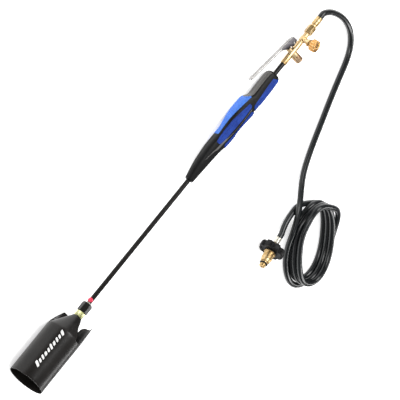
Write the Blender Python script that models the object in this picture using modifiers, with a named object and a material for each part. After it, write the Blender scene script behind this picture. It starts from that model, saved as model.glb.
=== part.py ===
"""Propane torch with a squeeze valve, flame-adjusting needle, hose and POL tank fitting.

Units are metres.  The torch lies on its bell and its lever end, bell toward +X,
hose leaving toward -X.  Inside the torch frame +X points at the bell, +Z at the
squeeze lever and a station is the distance from the bell mouth back along -X.
"""
import math

import bmesh
import bpy
from mathutils import Matrix, Vector

MM = 0.001

# resting place of the torch
MOUTH = (464.83 * MM, 0.0, 42.52 * MM)
REST_ROLL = math.radians(117.0)
REST_PITCH = math.radians(1.7)

# burner
BELL_RADIUS = 38.25 * MM
BELL_WALL = 1.0 * MM
BELL_STRAIGHT = 115 * MM
WING_LENGTH = 44 * MM
REAR_TAB_WIDTH = 18.3 * MM
STRAP_HALF_ANGLE = math.radians(56.5)
STRAP_CENTRE = math.radians(47)
HUB_START = 161 * MM
HUB_RADIUS = 9.15 * MM
NUT_START = 173 * MM

# gas tube
TUBE_START = 183.3 * MM
TUBE_END = 832.8 * MM

# handle: station, height toward lever, height toward belly, half width, squareness
HANDLE_SECTIONS = (
    (510.5, 8.9, 8.9, 8.9, 2.0),
    (515.0, 9.6, 9.2, 9.4, 2.1),
    (527.0, 12.0, 9.0, 10.5, 2.4),
    (549.0, 15.4, 8.9, 12.2, 3.0),
    (568.0, 16.9, 9.0, 13.0, 3.5),
    (588.0, 18.0, 9.8, 13.8, 4.0),
    (608.0, 17.6, 12.6, 14.5, 4.0),
    (622.0, 17.3, 13.4, 14.8, 4.0),
    (636.0, 17.8, 13.3, 15.0, 4.0),
    (640.0, 18.6, 11.8, 15.1, 4.0),
    (654.0, 20.6, 11.6, 15.4, 4.0),
    (674.0, 22.4, 12.8, 15.8, 4.0),
    (692.0, 22.4, 14.0, 16.0, 4.0),
    (698.0, 22.0, 12.2, 15.9, 4.0),
    (709.0, 20.8, 12.0, 15.6, 4.0),
    (723.0, 14.4, 13.6, 14.6, 4.0),
    (745.0, 15.4, 13.6, 14.0, 4.0),
    (765.0, 15.8, 12.9, 13.7, 4.0),
    (776.0, 15.4, 12.2, 13.3, 3.8),
    (781.0, 14.2, 11.0, 12.2, 3.4),
    (783.0, 12.4, 9.4, 10.6, 3.0),
)
# directions round the handle section, degrees from the lever side
SECTION_ANGLES = (0, 14, 27, 38, 46, 52, 60, 70, 80, 86, 91, 95, 105, 118, 132, 148, 164, 180)
CHANNEL_RADIUS = 4.95 * MM
PAD_GAP = 0.25 * MM
PAD_THICKNESS = 0.9 * MM
SCREW_SPOTS = ((588, 10.5), (681, 13.5), (758, 9.8))

# squeeze valve
VALVE_STATION = 841.5 * MM
PIVOT_STATION = 856.5 * MM
PIVOT_HEIGHT = 12.5 * MM
LEVER_TIP = 743 * MM
LEVER_HEIGHT = 35.8 * MM
LEVER_SLOPE = 0.1248
LEVER_HALF_WIDTH = 4.75 * MM
LEVER_SHEET = 1.2 * MM

# needle valve and hose end
NEEDLE_STATION = 876 * MM
NEEDLE_ANGLE = math.radians(124.0)

# hose
HOSE_RADIUS = 6.1 * MM
COIL_CENTRE = (-215.5 * MM, 473 * MM)
COIL_LONG = 90 * MM
COIL_SHORT = 50 * MM
COIL_TURN = math.radians(60.0)
COIL_SQUARENESS = 2.3
COIL_HEIGHT = 49.2 * MM
OUTER_TURN = 12.4 * MM
OUTER_TURN_MIDDLE = math.radians(-36.0)
OUTER_TURN_SPREAD = math.radians(102.0)

# tank fitting
POL_CENTRE = (-128.5 * MM, 369.5 * MM, 27.0 * MM)
POL_RISE = math.radians(12.7)
POL_HEADING = math.radians(-4.6)


for old in list(bpy.data.objects):
    bpy.data.objects.remove(old, do_unlink=True)

# keeps cutter edges off the edges of the round pieces they cut
CUTTER_TURN = math.radians(4.0)

part = bpy.data.collections.new("propane_torch")
bpy.context.scene.collection.children.link(part)
cutters = bpy.data.collections.new("cutters")
bpy.context.scene.collection.children.link(cutters)
cutters.hide_render = True


def material(name, colour, roughness, metallic=0.0):
    """Plain Principled material for one named piece."""
    made = bpy.data.materials.new(name)
    made.use_nodes = True
    shader = made.node_tree.nodes["Principled BSDF"]
    shader.inputs["Base Color"].default_value = (*colour, 1.0)
    shader.inputs["Roughness"].default_value = roughness
    shader.inputs["Metallic"].default_value = metallic
    return made


FINISHES = {
    "black_steel": ((0.03, 0.028, 0.026), 0.45, 0.0),
    "zinc_steel": ((0.55, 0.56, 0.58), 0.35, 1.0),
    "brass": ((0.72, 0.52, 0.24), 0.32, 1.0),
    "black_plastic": ((0.02, 0.02, 0.022), 0.5, 0.0),
    "light_blue_grip": ((0.10, 0.25, 0.75), 0.6, 0.0),
    "dark_blue_grip": ((0.03, 0.08, 0.40), 0.7, 0.0),
    "hose_rubber": ((0.05, 0.055, 0.065), 0.55, 0.0),
    "seal_rubber": ((0.015, 0.015, 0.015), 0.6, 0.0),
    "red_lacquer": ((0.75, 0.04, 0.08), 0.4, 0.0),
}


def empty(name, location=(0, 0, 0), rotation=(0, 0, 0), parent=None):
    """Frame that pieces are placed in."""
    made = bpy.data.objects.new(name, None)
    made.empty_display_size = 0.02
    made.location = location
    made.rotation_euler = rotation
    made.parent = parent
    part.objects.link(made)
    return made


def piece(name, data, finish, frame=None, smooth=True):
    """Named piece with its own material, placed by the frame it belongs to."""
    made = bpy.data.objects.new(name, data)
    data.name = name
    data.materials.append(material(name + "_" + finish, *FINISHES[finish]))
    made.parent = frame
    part.objects.link(made)
    if smooth and isinstance(data, bpy.types.Mesh):
        data.shade_smooth()
        data.set_sharp_from_angle(angle=math.radians(35))
    return made


def cutter(name, data, frame=None):
    """Hidden solid used by a Boolean."""
    made = bpy.data.objects.new(name, data)
    made.parent = frame
    made.display_type = "WIRE"
    made.hide_render = True
    cutters.objects.link(made)
    return made


def combine(target, tool, operation):
    """Boolean of one piece with a cutter."""
    step = target.modifiers.new(operation.lower(), "BOOLEAN")
    step.operation = operation
    step.solver = "EXACT"
    step.object = tool


def loft_mesh(name, rings, closed=False):
    """Quads between equal rings; ends capped, or joined round when closed."""
    grid = bmesh.new()
    rows = [[grid.verts.new(point) for point in ring] for ring in rings]
    count = len(rows[0])
    pairs = list(zip(rows, rows[1:]))
    if closed:
        pairs.append((rows[-1], rows[0]))
    for near, far in pairs:
        for k in range(count):
            n = (k + 1) % count
            grid.faces.new((near[k], near[n], far[n], far[k]))
    if not closed:
        grid.faces.new(rows[0])
        grid.faces.new(list(reversed(rows[-1])))
    bmesh.ops.recalc_face_normals(grid, faces=grid.faces)
    data = bpy.data.meshes.new(name)
    grid.to_mesh(data)
    grid.free()
    return data


def profile_mesh(name, profile, loop):
    """Half outline in the XZ plane, ready for a Screw modifier."""
    points = [(radius * MM, 0.0, height * MM) for radius, height in profile]
    edges = [(k, k + 1) for k in range(len(points) - 1)]
    if loop:
        edges.append((len(points) - 1, 0))
    data = bpy.data.meshes.new(name)
    data.from_pydata(points, edges, [])
    return data


def add_screw(made, steps):
    """Turn the outline once round its own Z axis."""
    turn = made.modifiers.new("turn", "SCREW")
    turn.angle = math.tau
    turn.steps = steps
    turn.render_steps = steps
    turn.use_merge_vertices = True
    turn.merge_threshold = 0.00002
    turn.use_smooth_shade = True


def turned(name, profile, finish, frame, steps=24, loop=True):
    """Turned piece; its outline runs down the outside, then up the bore."""
    made = piece(name, profile_mesh(name, profile, loop), finish, frame, smooth=False)
    add_screw(made, steps)
    return made


def turned_cutter(name, outline, frame, steps=24):
    """Turned cutter along the frame's Z axis, sizes in millimetres."""
    made = cutter(name, profile_mesh(name, outline, False), frame)
    made.rotation_euler.z = CUTTER_TURN
    add_screw(made, steps)
    return made


def round_cutter(name, radius, low, high, frame, steps=24):
    """Plain cylinder along the frame's Z axis, sizes in millimetres."""
    return turned_cutter(name, ((0, high), (radius, high), (radius, low), (0, low)), frame, steps)


def polygon(sides, across, height, turn=0.0):
    """Regular polygon ring; across is the distance between flats."""
    radius = across / 2 / math.cos(math.pi / sides)
    ring = []
    for k in range(sides):
        angle = turn + math.tau * k / sides
        ring.append(Vector((radius * math.cos(angle), radius * math.sin(angle), height)))
    return ring


def lobed(radius, depth, lobes, points, height):
    """Ring with rounded lobes and narrower valleys."""
    ring = []
    for k in range(points):
        angle = math.tau * k / points
        reach = radius - depth * (1 - math.cos(lobes * angle)) / 2
        ring.append(Vector((reach * math.cos(angle), reach * math.sin(angle), height)))
    return ring


# ---------------------------------------------------------------- frames
torch = empty("torch_frame", MOUTH, (REST_ROLL, -REST_PITCH, 0.0))
along = empty("tube_axis_frame", (0, 0, 0), (0, math.pi / 2, 0), torch)
plunger_frame = empty("plunger_frame", (-VALVE_STATION, 0, 0), (0, 0, 0), torch)
pivot_frame = empty("lever_pivot_frame", (-PIVOT_STATION, 0, PIVOT_HEIGHT), (math.pi / 2, 0, 0), torch)
needle_frame = empty("needle_frame", (-NEEDLE_STATION, 0, 0), (-NEEDLE_ANGLE, 0, 0), torch)
pol = empty("tank_fitting_frame", POL_CENTRE, (0, math.pi / 2 - POL_RISE, POL_HEADING))


# ---------------------------------------------------------------- burner
def around(station, radius, angle):
    """Point at a station, distance from the axis and angle from the lever side."""
    return Vector((-station, radius * math.sin(angle), radius * math.cos(angle)))


def bell_tongue(kind, first, last, rise, across):
    """Point on a tongue of the bell; rise runs 0 to 1 from the barrel's end, across -1 to 1."""
    middle = (first + last) / 2
    half = (last - first) / 2
    if kind == "guard":
        top = BELL_STRAIGHT + WING_LENGTH
        outer = -1 if middle < math.pi else 1
        slant = math.radians(39) * rise
        near = middle + outer * half
        far = middle - outer * half
        share = (1 + outer * across) / 2
        angle = far + (near - outer * slant - far) * share
        corner = max(0.0, abs(across) * 4 - 3)
        drop = 7 * MM * (1 - math.sqrt(max(0.0, 1 - corner ** 2)))
        return around(BELL_STRAIGHT + rise * (top - drop - BELL_STRAIGHT), BELL_RADIUS, STRAP_CENTRE + angle)
    small = HUB_RADIUS + 0.05 * MM
    fold = (math.hypot(rise, 0.06) - 0.06) / (math.hypot(1, 0.06) - 0.06)
    radius = BELL_RADIUS + fold * (small - BELL_RADIUS)
    if kind == "front":
        spread = half + (math.radians(84) - half) * max(0.0, (rise - 0.6) / 0.4) ** 1.5
    else:
        spread = math.asin(min(REAR_TAB_WIDTH / 2 / radius, math.sin(math.radians(84))))
    station = BELL_STRAIGHT + rise * (HUB_START - 0.4 * MM - BELL_STRAIGHT)
    return around(station, radius, STRAP_CENTRE + middle + across * spread)


def burner_bell():
    """Sheet-metal bell: round barrel, a wide front strap, a narrow rear tab, two wind guards."""
    front_half = STRAP_HALF_ANGLE
    rear_half = math.asin(REAR_TAB_WIDTH / 2 / BELL_RADIUS)
    guard_start = math.radians(80)
    guard_stop = math.pi - rear_half - math.radians(2)
    # name, first and last angle from the strap centre at the barrel's end, columns
    sectors = (
        ("front", -front_half, front_half, 10), ("slot", front_half, guard_start, 2),
        ("guard", guard_start, guard_stop, 8), ("slot", guard_stop, math.pi - rear_half, 1),
        ("rear", math.pi - rear_half, math.pi + rear_half, 4),
        ("slot", math.pi + rear_half, math.tau - guard_stop, 1),
        ("guard", math.tau - guard_stop, math.tau - guard_start, 8),
        ("slot", math.tau - guard_start, math.tau - front_half, 2),
    )
    angles = []
    for _, first, last, cols in sectors:
        angles += [STRAP_CENTRE + first + (last - first) * k / cols for k in range(cols)]
    sheet = bmesh.new()
    rows = []
    for station in (0.0, 0.5 * BELL_STRAIGHT, BELL_STRAIGHT):
        rows.append([sheet.verts.new(around(station, BELL_RADIUS, angle)) for angle in angles])
    total = len(angles)
    for near, far in zip(rows, rows[1:]):
        for k in range(total):
            n = (k + 1) % total
            sheet.faces.new((near[k], near[n], far[n], far[k]))
    edge = rows[-1]
    start = 0
    for kind, first, last, cols in sectors:
        previous = [edge[(start + k) % total] for k in range(cols + 1)]
        steps = {"front": 9, "rear": 9, "guard": 5, "slot": 0}[kind]
        for step in range(1, steps + 1):
            row = [sheet.verts.new(bell_tongue(kind, first, last, step / steps, 2 * k / cols - 1))
                   for k in range(cols + 1)]
            for k in range(cols):
                sheet.faces.new((previous[k], previous[k + 1], row[k + 1], row[k]))
            previous = row
        start += cols
    bmesh.ops.recalc_face_normals(sheet, faces=sheet.faces)
    if sheet.faces[0].normal.dot(sheet.faces[0].calc_center_median() * Vector((0, 1, 1))) < 0:
        bmesh.ops.reverse_faces(sheet, faces=sheet.faces)
    data = bpy.data.meshes.new("burner_bell")
    sheet.to_mesh(data)
    sheet.free()
    made = piece("burner_bell", data, "black_steel", torch)
    wall = made.modifiers.new("wall", "SOLIDIFY")
    wall.thickness = BELL_WALL
    wall.offset = -1.0
    wall.use_even_offset = False


def burner_hub():
    """Fluted brass hub with a front spigot in the straps and a rear thread."""
    ribs = 14
    bore = 3.2 * MM

    def ring(station, radius, rib=0.0):
        points = []
        for k in range(2 * ribs):
            reach = radius - (rib if k % 2 else 0.0)
            points.append(around(station, reach, math.tau * k / (2 * ribs)))
        return points

    rib = 0.6 * MM
    rings = [
        ring(155 * MM, bore), ring(155 * MM, 7.8 * MM), ring(HUB_START, 7.8 * MM),
        ring(HUB_START, HUB_RADIUS - rib), ring(HUB_START + 1 * MM, HUB_RADIUS, rib),
        ring(NUT_START - 1.2 * MM, HUB_RADIUS, rib), ring(NUT_START - 0.3 * MM, HUB_RADIUS - rib),
        ring(NUT_START - 0.3 * MM, 6.0 * MM), ring(NUT_START + 10 * MM, 6.0 * MM),
        ring(NUT_START + 10 * MM, bore),
    ]
    piece("burner_hub", loft_mesh("burner_hub", rings, closed=True), "brass", torch)


burner_bell()
burner_hub()
turned("gas_jet", ((0.7, -148), (3.4, -148), (4.6, -150), (4.6, -154.7), (3.0, -154.7),
                   (3.0, -165), (0.7, -165)), "brass", along, 16)


def hex_nut(name, across, near, far, finish, frame, chamfer, neck=None, turn=0.0):
    """Hexagon nut along the tube axis, its corners turned off at the rear end."""
    low = -far * MM
    high = -near * MM
    rings = [polygon(6, across * MM, low, turn), polygon(6, across * MM, high, turn)]
    made = piece(name, loft_mesh(name, rings), finish, frame, smooth=False)
    reach = across / 2 / math.cos(math.pi / 6)
    keep = across / 2 - 0.3
    outline = ((0, -near + 1), (reach + 1, -near + 1), (reach + 1, -far + chamfer),
               (keep, -far), (keep, -far - 1), (0, -far - 1))
    shape = cutter(name + "_corners", profile_mesh(name + "_corners", outline, False), frame)
    add_screw(shape, 32)
    combine(made, shape, "INTERSECT")
    if neck:
        collar = round_cutter(name + "_neck", neck[0], -neck[1], -far + 1, frame)
        combine(made, collar, "UNION")
    return made


nut = hex_nut("coupling_nut", 19.0, 173.0, 193.4, "black_steel", along, 2.6)
combine(nut, round_cutter("coupling_nut_thread", 6.2, -183.9, -172, along), "DIFFERENCE")
combine(nut, round_cutter("coupling_nut_bore", 4.95, -195, -182, along), "DIFFERENCE")
turned("nut_seal_ring", ((5.5, -193.7), (5.5, -195.4), (5.0, -195.8), (4.9, -195.8), (4.9, -193.7)),
       "brass", along, 20)
turned("gas_tube", ((4.75, -TUBE_START / MM), (4.75, -TUBE_END / MM), (3.5, -TUBE_END / MM),
                    (3.5, -TUBE_START / MM)), "black_steel", along, 20)


def marker_dab():
    """Domed dab of red lacquer seated on the tube."""
    data = bpy.data.meshes.new("red_marker_dab")
    dome = bmesh.new()
    bmesh.ops.create_uvsphere(dome, u_segments=16, v_segments=10, radius=1.0)
    angle = math.radians(37)
    place = Matrix.Translation(around(201.7 * MM, 3.2 * MM, angle))
    place = place @ Matrix.Rotation(-angle, 4, "X") @ Matrix.Diagonal((0.0055, 0.0052, 0.003, 1))
    bmesh.ops.transform(dome, matrix=place, verts=dome.verts)
    dome.to_mesh(data)
    dome.free()
    made = piece("red_marker_dab", data, "red_lacquer", torch)
    combine(made, round_cutter("marker_seat", 4.8, -215, -190, along, 20), "DIFFERENCE")


marker_dab()


# ---------------------------------------------------------------- handle
def handle_point(section, degrees, side=1):
    """Point on the handle skin; side +1 is left of the lever, -1 right."""
    station, top, belly, half, square = section
    angle = math.radians(degrees)
    power = 2.0 / square
    across = half * abs(math.sin(angle)) ** power
    height = top if degrees <= 90 else belly
    rise = math.copysign(height * abs(math.cos(angle)) ** power, math.cos(angle))
    if degrees in (0, 180):
        across = 0.0
    return Vector((-station * MM, side * across * MM, rise * MM))


def handle_shell(name, side):
    """Half of the handle, split on the plane of the lever, with a tube channel."""
    rings = []
    gap = 0.05 * MM * side
    for section in HANDLE_SECTIONS:
        ring = []
        for degrees in SECTION_ANGLES:
            point = handle_point(section, degrees, side)
            point.y = side * max(abs(point.y), abs(gap))
            ring.append(point)
        for k in range(8, -1, -1):
            point = around(section[0] * MM, CHANNEL_RADIUS, side * math.pi * k / 8)
            point.y = side * max(abs(point.y), abs(gap))
            ring.append(point)
        rings.append(ring)
    return piece(name, loft_mesh(name, rings), "black_plastic", torch)


left = handle_shell("handle_shell_left", 1)
right = handle_shell("handle_shell_right", -1)

for number, (station, height) in enumerate(SCREW_SPOTS, start=1):
    spot = empty("handle_screw_frame_%d" % number, (-station * MM, 0, height * MM), (math.pi / 2, 0, 0), torch)
    combine(right, round_cutter("screw_recess_%d" % number, 2.7, 8.0, 22.0, spot, 12), "DIFFERENCE")
    combine(right, round_cutter("screw_clearance_%d" % number, 1.35, -1.0, 9.0, spot, 12), "DIFFERENCE")
    combine(left, round_cutter("screw_pilot_%d" % number, 1.35, -9.8, 1.0, spot, 12), "DIFFERENCE")
    turned("handle_screw_%d" % number, ((0, 9.9), (1.3, 9.8), (2.4, 9.2), (2.4, 8.1), (1.2, 8.1), (1.2, -9.0),
                                        (0.4, -9.5), (0, -9.5)), "zinc_steel", spot, 10, loop=False)


def skin_normals(columns):
    """Outward directions of the handle skin at each station and column."""
    grid = [[handle_point(section, abs(c), 1 if c >= 0 else -1) for c in columns]
            for section in HANDLE_SECTIONS]
    normals = []
    for i in range(len(grid)):
        row = []
        for j in range(len(columns)):
            lengthways = grid[min(i + 1, len(grid) - 1)][j] - grid[max(i - 1, 0)][j]
            across = grid[i][min(j + 1, len(columns) - 1)] - grid[i][max(j - 1, 0)]
            normal = across.cross(lengthways).normalized()
            if normal.dot(grid[i][j] * Vector((0, 1, 1))) < 0:
                normal.negate()
            row.append(normal)
        normals.append(row)
    return grid, normals


def grip_pad(name, columns, first, last, finish):
    """Soft pad following the handle skin between two stations."""
    grid, normals = skin_normals(columns)
    rings = []
    for i in range(first, last + 1):
        outer = []
        inner = []
        for spot, normal in zip(grid[i], normals[i]):
            outer.append(spot + normal * (PAD_GAP + PAD_THICKNESS))
            inner.append(spot + normal * PAD_GAP)
        rings.append(outer + list(reversed(inner)))
    piece(name, loft_mesh(name, rings), finish, torch)


TOP_HALF = [a for a in SECTION_ANGLES if a <= 52]
SIDE = [a for a in SECTION_ANGLES if 70 <= a <= 91]
BELLY_HALF = [a for a in SECTION_ANGLES if 95 <= a]
top_columns = [-a for a in reversed(TOP_HALF[1:])] + TOP_HALF
belly_columns = BELLY_HALF + [-a for a in reversed(BELLY_HALF[:-1])]
grip_pad("top_grip_pad", top_columns, 6, 14, "light_blue_grip")
grip_pad("side_grip_pad_left", SIDE, 6, 13, "dark_blue_grip")
grip_pad("side_grip_pad_right", [-a for a in SIDE], 6, 13, "dark_blue_grip")
grip_pad("belly_grip_pad", belly_columns, 6, 12, "dark_blue_grip")
grip_pad("rear_grip_pad", belly_columns, 14, 18, "dark_blue_grip")


# ---------------------------------------------------------------- squeeze valve
turned("tube_sleeve", ((6.1, -812.5), (6.1, -833.2), (4.9, -833.2), (4.9, -812), (5.6, -812)),
       "brass", along, 24)

body_outline = ((0, 11.5), (5.0, 11.5), (5.0, 0.4), (8.0, -1.6), (8.0, -10), (5.8, -10), (5.8, -14), (0, -14))
body = piece("valve_body", profile_mesh("valve_body", body_outline, False), "brass", plunger_frame, smooth=False)
add_screw(body, 24)
combine(body, round_cutter("valve_barrel", 6.1, -866, -833.6, along), "UNION")


def pivot_lug():
    """Flat lug with a rounded top that carries the lever pin."""
    side = []
    for height in (-3.3 * MM, 3.3 * MM):
        ring = [Vector((6.6 * MM, -9.5 * MM, height)), Vector((6.6 * MM, 0, height))]
        for k in range(1, 8):
            angle = math.pi * k / 8
            ring.append(Vector((6.6 * MM * math.cos(angle), 4.6 * MM * math.sin(angle), height)))
        ring += [Vector((-6.6 * MM, 0, height)), Vector((-6.6 * MM, -9.5 * MM, height))]
        side.append(ring)
    return cutter("pivot_lug", loft_mesh("pivot_lug", side), pivot_frame)


combine(body, pivot_lug(), "UNION")
combine(body, round_cutter("pin_hole", 1.6, -6, 6, pivot_frame, 16), "DIFFERENCE")
plunger_bore = ((0, 12.5), (3.2, 12.5), (3.2, 8.5), (2.0, 8.5), (2.0, -1.5), (4.4, -1.5), (4.4, -15), (0, -15))
combine(body, turned_cutter("plunger_bore", plunger_bore, plunger_frame, 20), "DIFFERENCE")
inlet = empty("inlet_frame", (0, 0, -3.2 * MM), (0, math.pi / 2, 0), torch)
combine(body, round_cutter("inlet_bore", 1.8, -867, -843, inlet, 16), "DIFFERENCE")
outlet = empty("outlet_frame", (0, 0, 1.6 * MM), (0, math.pi / 2, 0), torch)
combine(body, round_cutter("outlet_bore", 1.8, -841, -833, outlet, 16), "DIFFERENCE")

turned("spring_cap", ((0, -22.2), (6.0, -22.2), (6.0, -10.3), (8.25, -10.3), (8.25, -23.4), (7.4, -24.2),
                      (0, -24.2)), "brass", plunger_frame, 24, loop=False)
turned("valve_plunger", ((0, 21.9), (1.6, 21.8), (3.0, 21.1), (3.0, 13.5), (1.4, 13.5), (1.4, -1.7),
                         (3.4, -2.0), (3.4, -4.0), (0, -4.0)), "zinc_steel", plunger_frame, 20, loop=False)
turned("plunger_seal", ((2.9, 10.9), (3.1, 10.4), (3.1, 9.2), (2.9, 8.7), (1.7, 8.7), (1.5, 9.2), (1.5, 10.4),
                        (1.7, 10.9)), "seal_rubber", plunger_frame, 14)


def valve_spring():
    """Round-wire return spring below the plunger."""
    turns = 5
    per_turn = 10
    wire = 0.55 * MM
    low = -19.6 * MM
    high = -6.8 * MM
    line = bpy.data.curves.new("valve_spring", "CURVE")
    line.dimensions = "3D"
    run = line.splines.new("POLY")
    count = turns * per_turn + 1
    run.points.add(count - 1)
    for k in range(count):
        angle = math.tau * k / per_turn
        height = low + (high - low) * k / (count - 1)
        run.points[k].co = (3.4 * MM * math.cos(angle), 3.4 * MM * math.sin(angle), height, 1)
    line.bevel_depth = wire
    line.bevel_resolution = 0
    line.use_fill_caps = True
    piece("valve_spring", line, "zinc_steel", plunger_frame)


valve_spring()


def squeeze_lever():
    """Bent sheet channel whose flanges deepen into two ears at the pivot."""
    half = LEVER_HALF_WIDTH
    fold = 0.9 * MM
    rows = (
        (743, 3.6), (746, 3.8), (785, 3.8), (822, 3.8), (830, 4.4), (835, 9.0), (846, 9.9),
        (849.5, 13.6), (853, 14.1), (860, 12.6), (864.5, 9.5),
    )
    sheet = bmesh.new()
    previous = None
    for station, depth in rows:
        top = LEVER_HEIGHT - LEVER_SLOPE * (station * MM - LEVER_TIP)
        narrow = 0.9 * MM if station == 743 else 0.0
        outline = ((half - narrow, top - depth * MM), (half - narrow, top - 2.2 * MM), (half - narrow, top - fold),
                   (half - fold - narrow, top), (0, top))
        line = [Vector((-station * MM, y, z)) for y, z in outline]
        line += [Vector((-station * MM, -y, z)) for y, z in reversed(outline[:-1])]
        row = [sheet.verts.new(point) for point in line]
        if previous:
            for k in range(len(row) - 1):
                sheet.faces.new((previous[k], previous[k + 1], row[k + 1], row[k]))
        previous = row
    bmesh.ops.recalc_face_normals(sheet, faces=sheet.faces)
    sheet.faces.ensure_lookup_table()
    if sheet.faces[3].normal.z < 0:
        bmesh.ops.reverse_faces(sheet, faces=sheet.faces)
    data = bpy.data.meshes.new("squeeze_lever")
    sheet.to_mesh(data)
    sheet.free()
    made = piece("squeeze_lever", data, "zinc_steel", torch)
    wall = made.modifiers.new("sheet", "SOLIDIFY")
    wall.thickness = LEVER_SHEET
    wall.offset = -1.0
    wall.use_even_offset = True
    combine(made, round_cutter("lever_pin_hole", 1.65, -7, 7, pivot_frame, 16), "DIFFERENCE")


squeeze_lever()
turned("lever_pin", ((0, 5.9), (1.9, 5.8), (2.5, 5.2), (2.5, 4.9), (1.5, 4.9), (1.5, -4.9), (2.5, -4.9),
                     (2.5, -5.2), (1.9, -5.8), (0, -5.9)), "zinc_steel", pivot_frame, 16, loop=False)


# ---------------------------------------------------------------- needle valve
needle_outline = ((0, -866.3), (5.5, -866.3), (5.5, -870), (6.4, -871), (6.4, -881), (5.5, -882), (5.5, -890.7),
                  (5.0, -890.7), (5.0, -897), (1.2, -897), (1.2, -876.3), (0, -876.3))
needle_body = piece("needle_body", profile_mesh("needle_body", needle_outline, False), "brass", along, smooth=False)
add_screw(needle_body, 24)
combine(needle_body, round_cutter("needle_boss", 5.2, 0, 13.0, needle_frame), "UNION")
combine(needle_body, round_cutter("needle_seat_bore", 2.6, 3.2, 14.0, needle_frame, 16), "DIFFERENCE")
combine(needle_body, round_cutter("needle_orifice", 1.0, -2.6, 4.0, needle_frame, 16), "DIFFERENCE")
near_inlet = empty("needle_outlet_frame", (0, 0, -3.2 * MM), (0, math.pi / 2, 0), torch)
combine(needle_body, round_cutter("needle_outlet", 1.2, -876, -865, near_inlet, 16), "DIFFERENCE")

bonnet_rings = [polygon(6, 14 * MM, 13.3 * MM), polygon(6, 14 * MM, 17.2 * MM)]
bonnet = piece("needle_bonnet", loft_mesh("needle_bonnet", bonnet_rings), "brass", needle_frame, smooth=False)
combine(bonnet, round_cutter("bonnet_neck", 4.4, 16, 21.6, needle_frame), "UNION")
combine(bonnet, round_cutter("bonnet_bore", 2.2, 12, 23, needle_frame, 16), "DIFFERENCE")
combine(bonnet, round_cutter("packing_seat", 3.3, 18.0, 23, needle_frame, 16), "DIFFERENCE")
turned("needle_packing", ((3.1, 21.2), (3.1, 18.3), (2.2, 18.3), (2.2, 21.2)), "seal_rubber", needle_frame, 16)
turned("needle_stem", ((0, 35.2), (2.0, 35.2), (2.0, 6.6), (0.9, 3.6), (0, 3.6)), "zinc_steel", needle_frame, 16,
       loop=False)


def needle_knob():
    """Scalloped round knob with a bore for the stem."""
    bore = 2.1 * MM
    rings = []
    for height, radius, depth in ((22.6, 10.8, 0.8), (23.8, 12.4, 1.4), (34.0, 12.4, 1.4), (35.4, 10.8, 0.8)):
        rings.append(lobed(radius * MM, depth * MM, 12, 48, height * MM))
    rings.append(lobed(bore, 0.0, 12, 48, 35.4 * MM))
    rings.append(lobed(bore, 0.0, 12, 48, 22.6 * MM))
    piece("needle_knob", loft_mesh("needle_knob", rings, closed=True), "brass", needle_frame)


needle_knob()
turned("knob_screw", ((0, 37.6), (2.4, 37.4), (3.6, 36.6), (3.6, 35.6), (0, 35.6)), "zinc_steel", needle_frame, 16,
       loop=False)

# ---------------------------------------------------------------- hose end on the torch
hose_nut = hex_nut("hose_nut", 15.0, 891.0, 909.0, "brass", along, 1.6, neck=(5.6, 913.4), turn=math.radians(11))
combine(hose_nut, round_cutter("hose_nut_thread", 5.2, -900.2, -890, along), "DIFFERENCE")
combine(hose_nut, round_cutter("hose_nut_bore", 3.7, -915, -899, along, 20), "DIFFERENCE")
turned("hose_barb", ((4.9, -897.3), (4.9, -899.9), (3.4, -899.9), (3.4, -929), (1.8, -929), (1.8, -897.3)),
       "brass", along, 20)
turned("hose_ferrule", ((6.2, -913.8), (7.0, -914.8), (7.0, -930.2), (6.6, -931), (3.6, -931), (3.6, -913.8)),
       "brass", along, 28)


# ---------------------------------------------------------------- tank fitting
def handwheel():
    """Lobed wheel gripped to turn the tank nut by hand."""
    bore = 8.3 * MM
    rings = []
    for height, radius, depth in ((-7, 23.6, 2.2), (-5.2, 25.9, 3.2), (5.2, 25.9, 3.2), (7, 23.6, 2.2)):
        rings.append(lobed(radius * MM, depth * MM, 8, 48, height * MM))
    rings.append(lobed(bore, 0.0, 8, 48, 7 * MM))
    rings.append(lobed(bore, 0.0, 8, 48, -7 * MM))
    piece("tank_handwheel", loft_mesh("tank_handwheel", rings, closed=True), "black_plastic", pol)


handwheel()
turned("tank_nut", ((8.6, 31.5), (9.4, 30.8), (10.2, 25), (11.15, 23), (11.15, 10.6), (12.4, 10.2), (12.4, 7.3),
                    (8.0, 7.3), (8.0, -6.5), (4.6, -6.5), (4.6, 31.5)), "brass", pol, 24)
turned("tank_nipple", ((5.0, 44.0), (6.2, 42.8), (6.5, 41.5), (6.5, 37.3), (5.7, 36.8), (5.7, 34.2), (7.4, 33.8),
                       (7.4, 31.8), (4.4, 31.8), (4.4, -8.0), (5.8, -8.0), (5.8, -14.6), (3.4, -14.6),
                       (3.4, -27.5), (1.8, -27.5), (1.8, 44.0)), "brass", pol, 20)
turned("tank_o_ring", ((8.0, 36.7), (8.8, 36.2), (8.9, 35.5), (8.8, 34.8), (8.0, 34.3), (6.4, 34.3), (5.9, 35.0),
                       (5.9, 36.0), (6.4, 36.7)), "seal_rubber", pol, 20)
turned("tank_ferrule", ((5.9, -14.9), (6.5, -15.8), (6.5, -28.2), (6.1, -29), (3.6, -29), (3.6, -14.9)),
       "zinc_steel", pol, 20)


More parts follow.
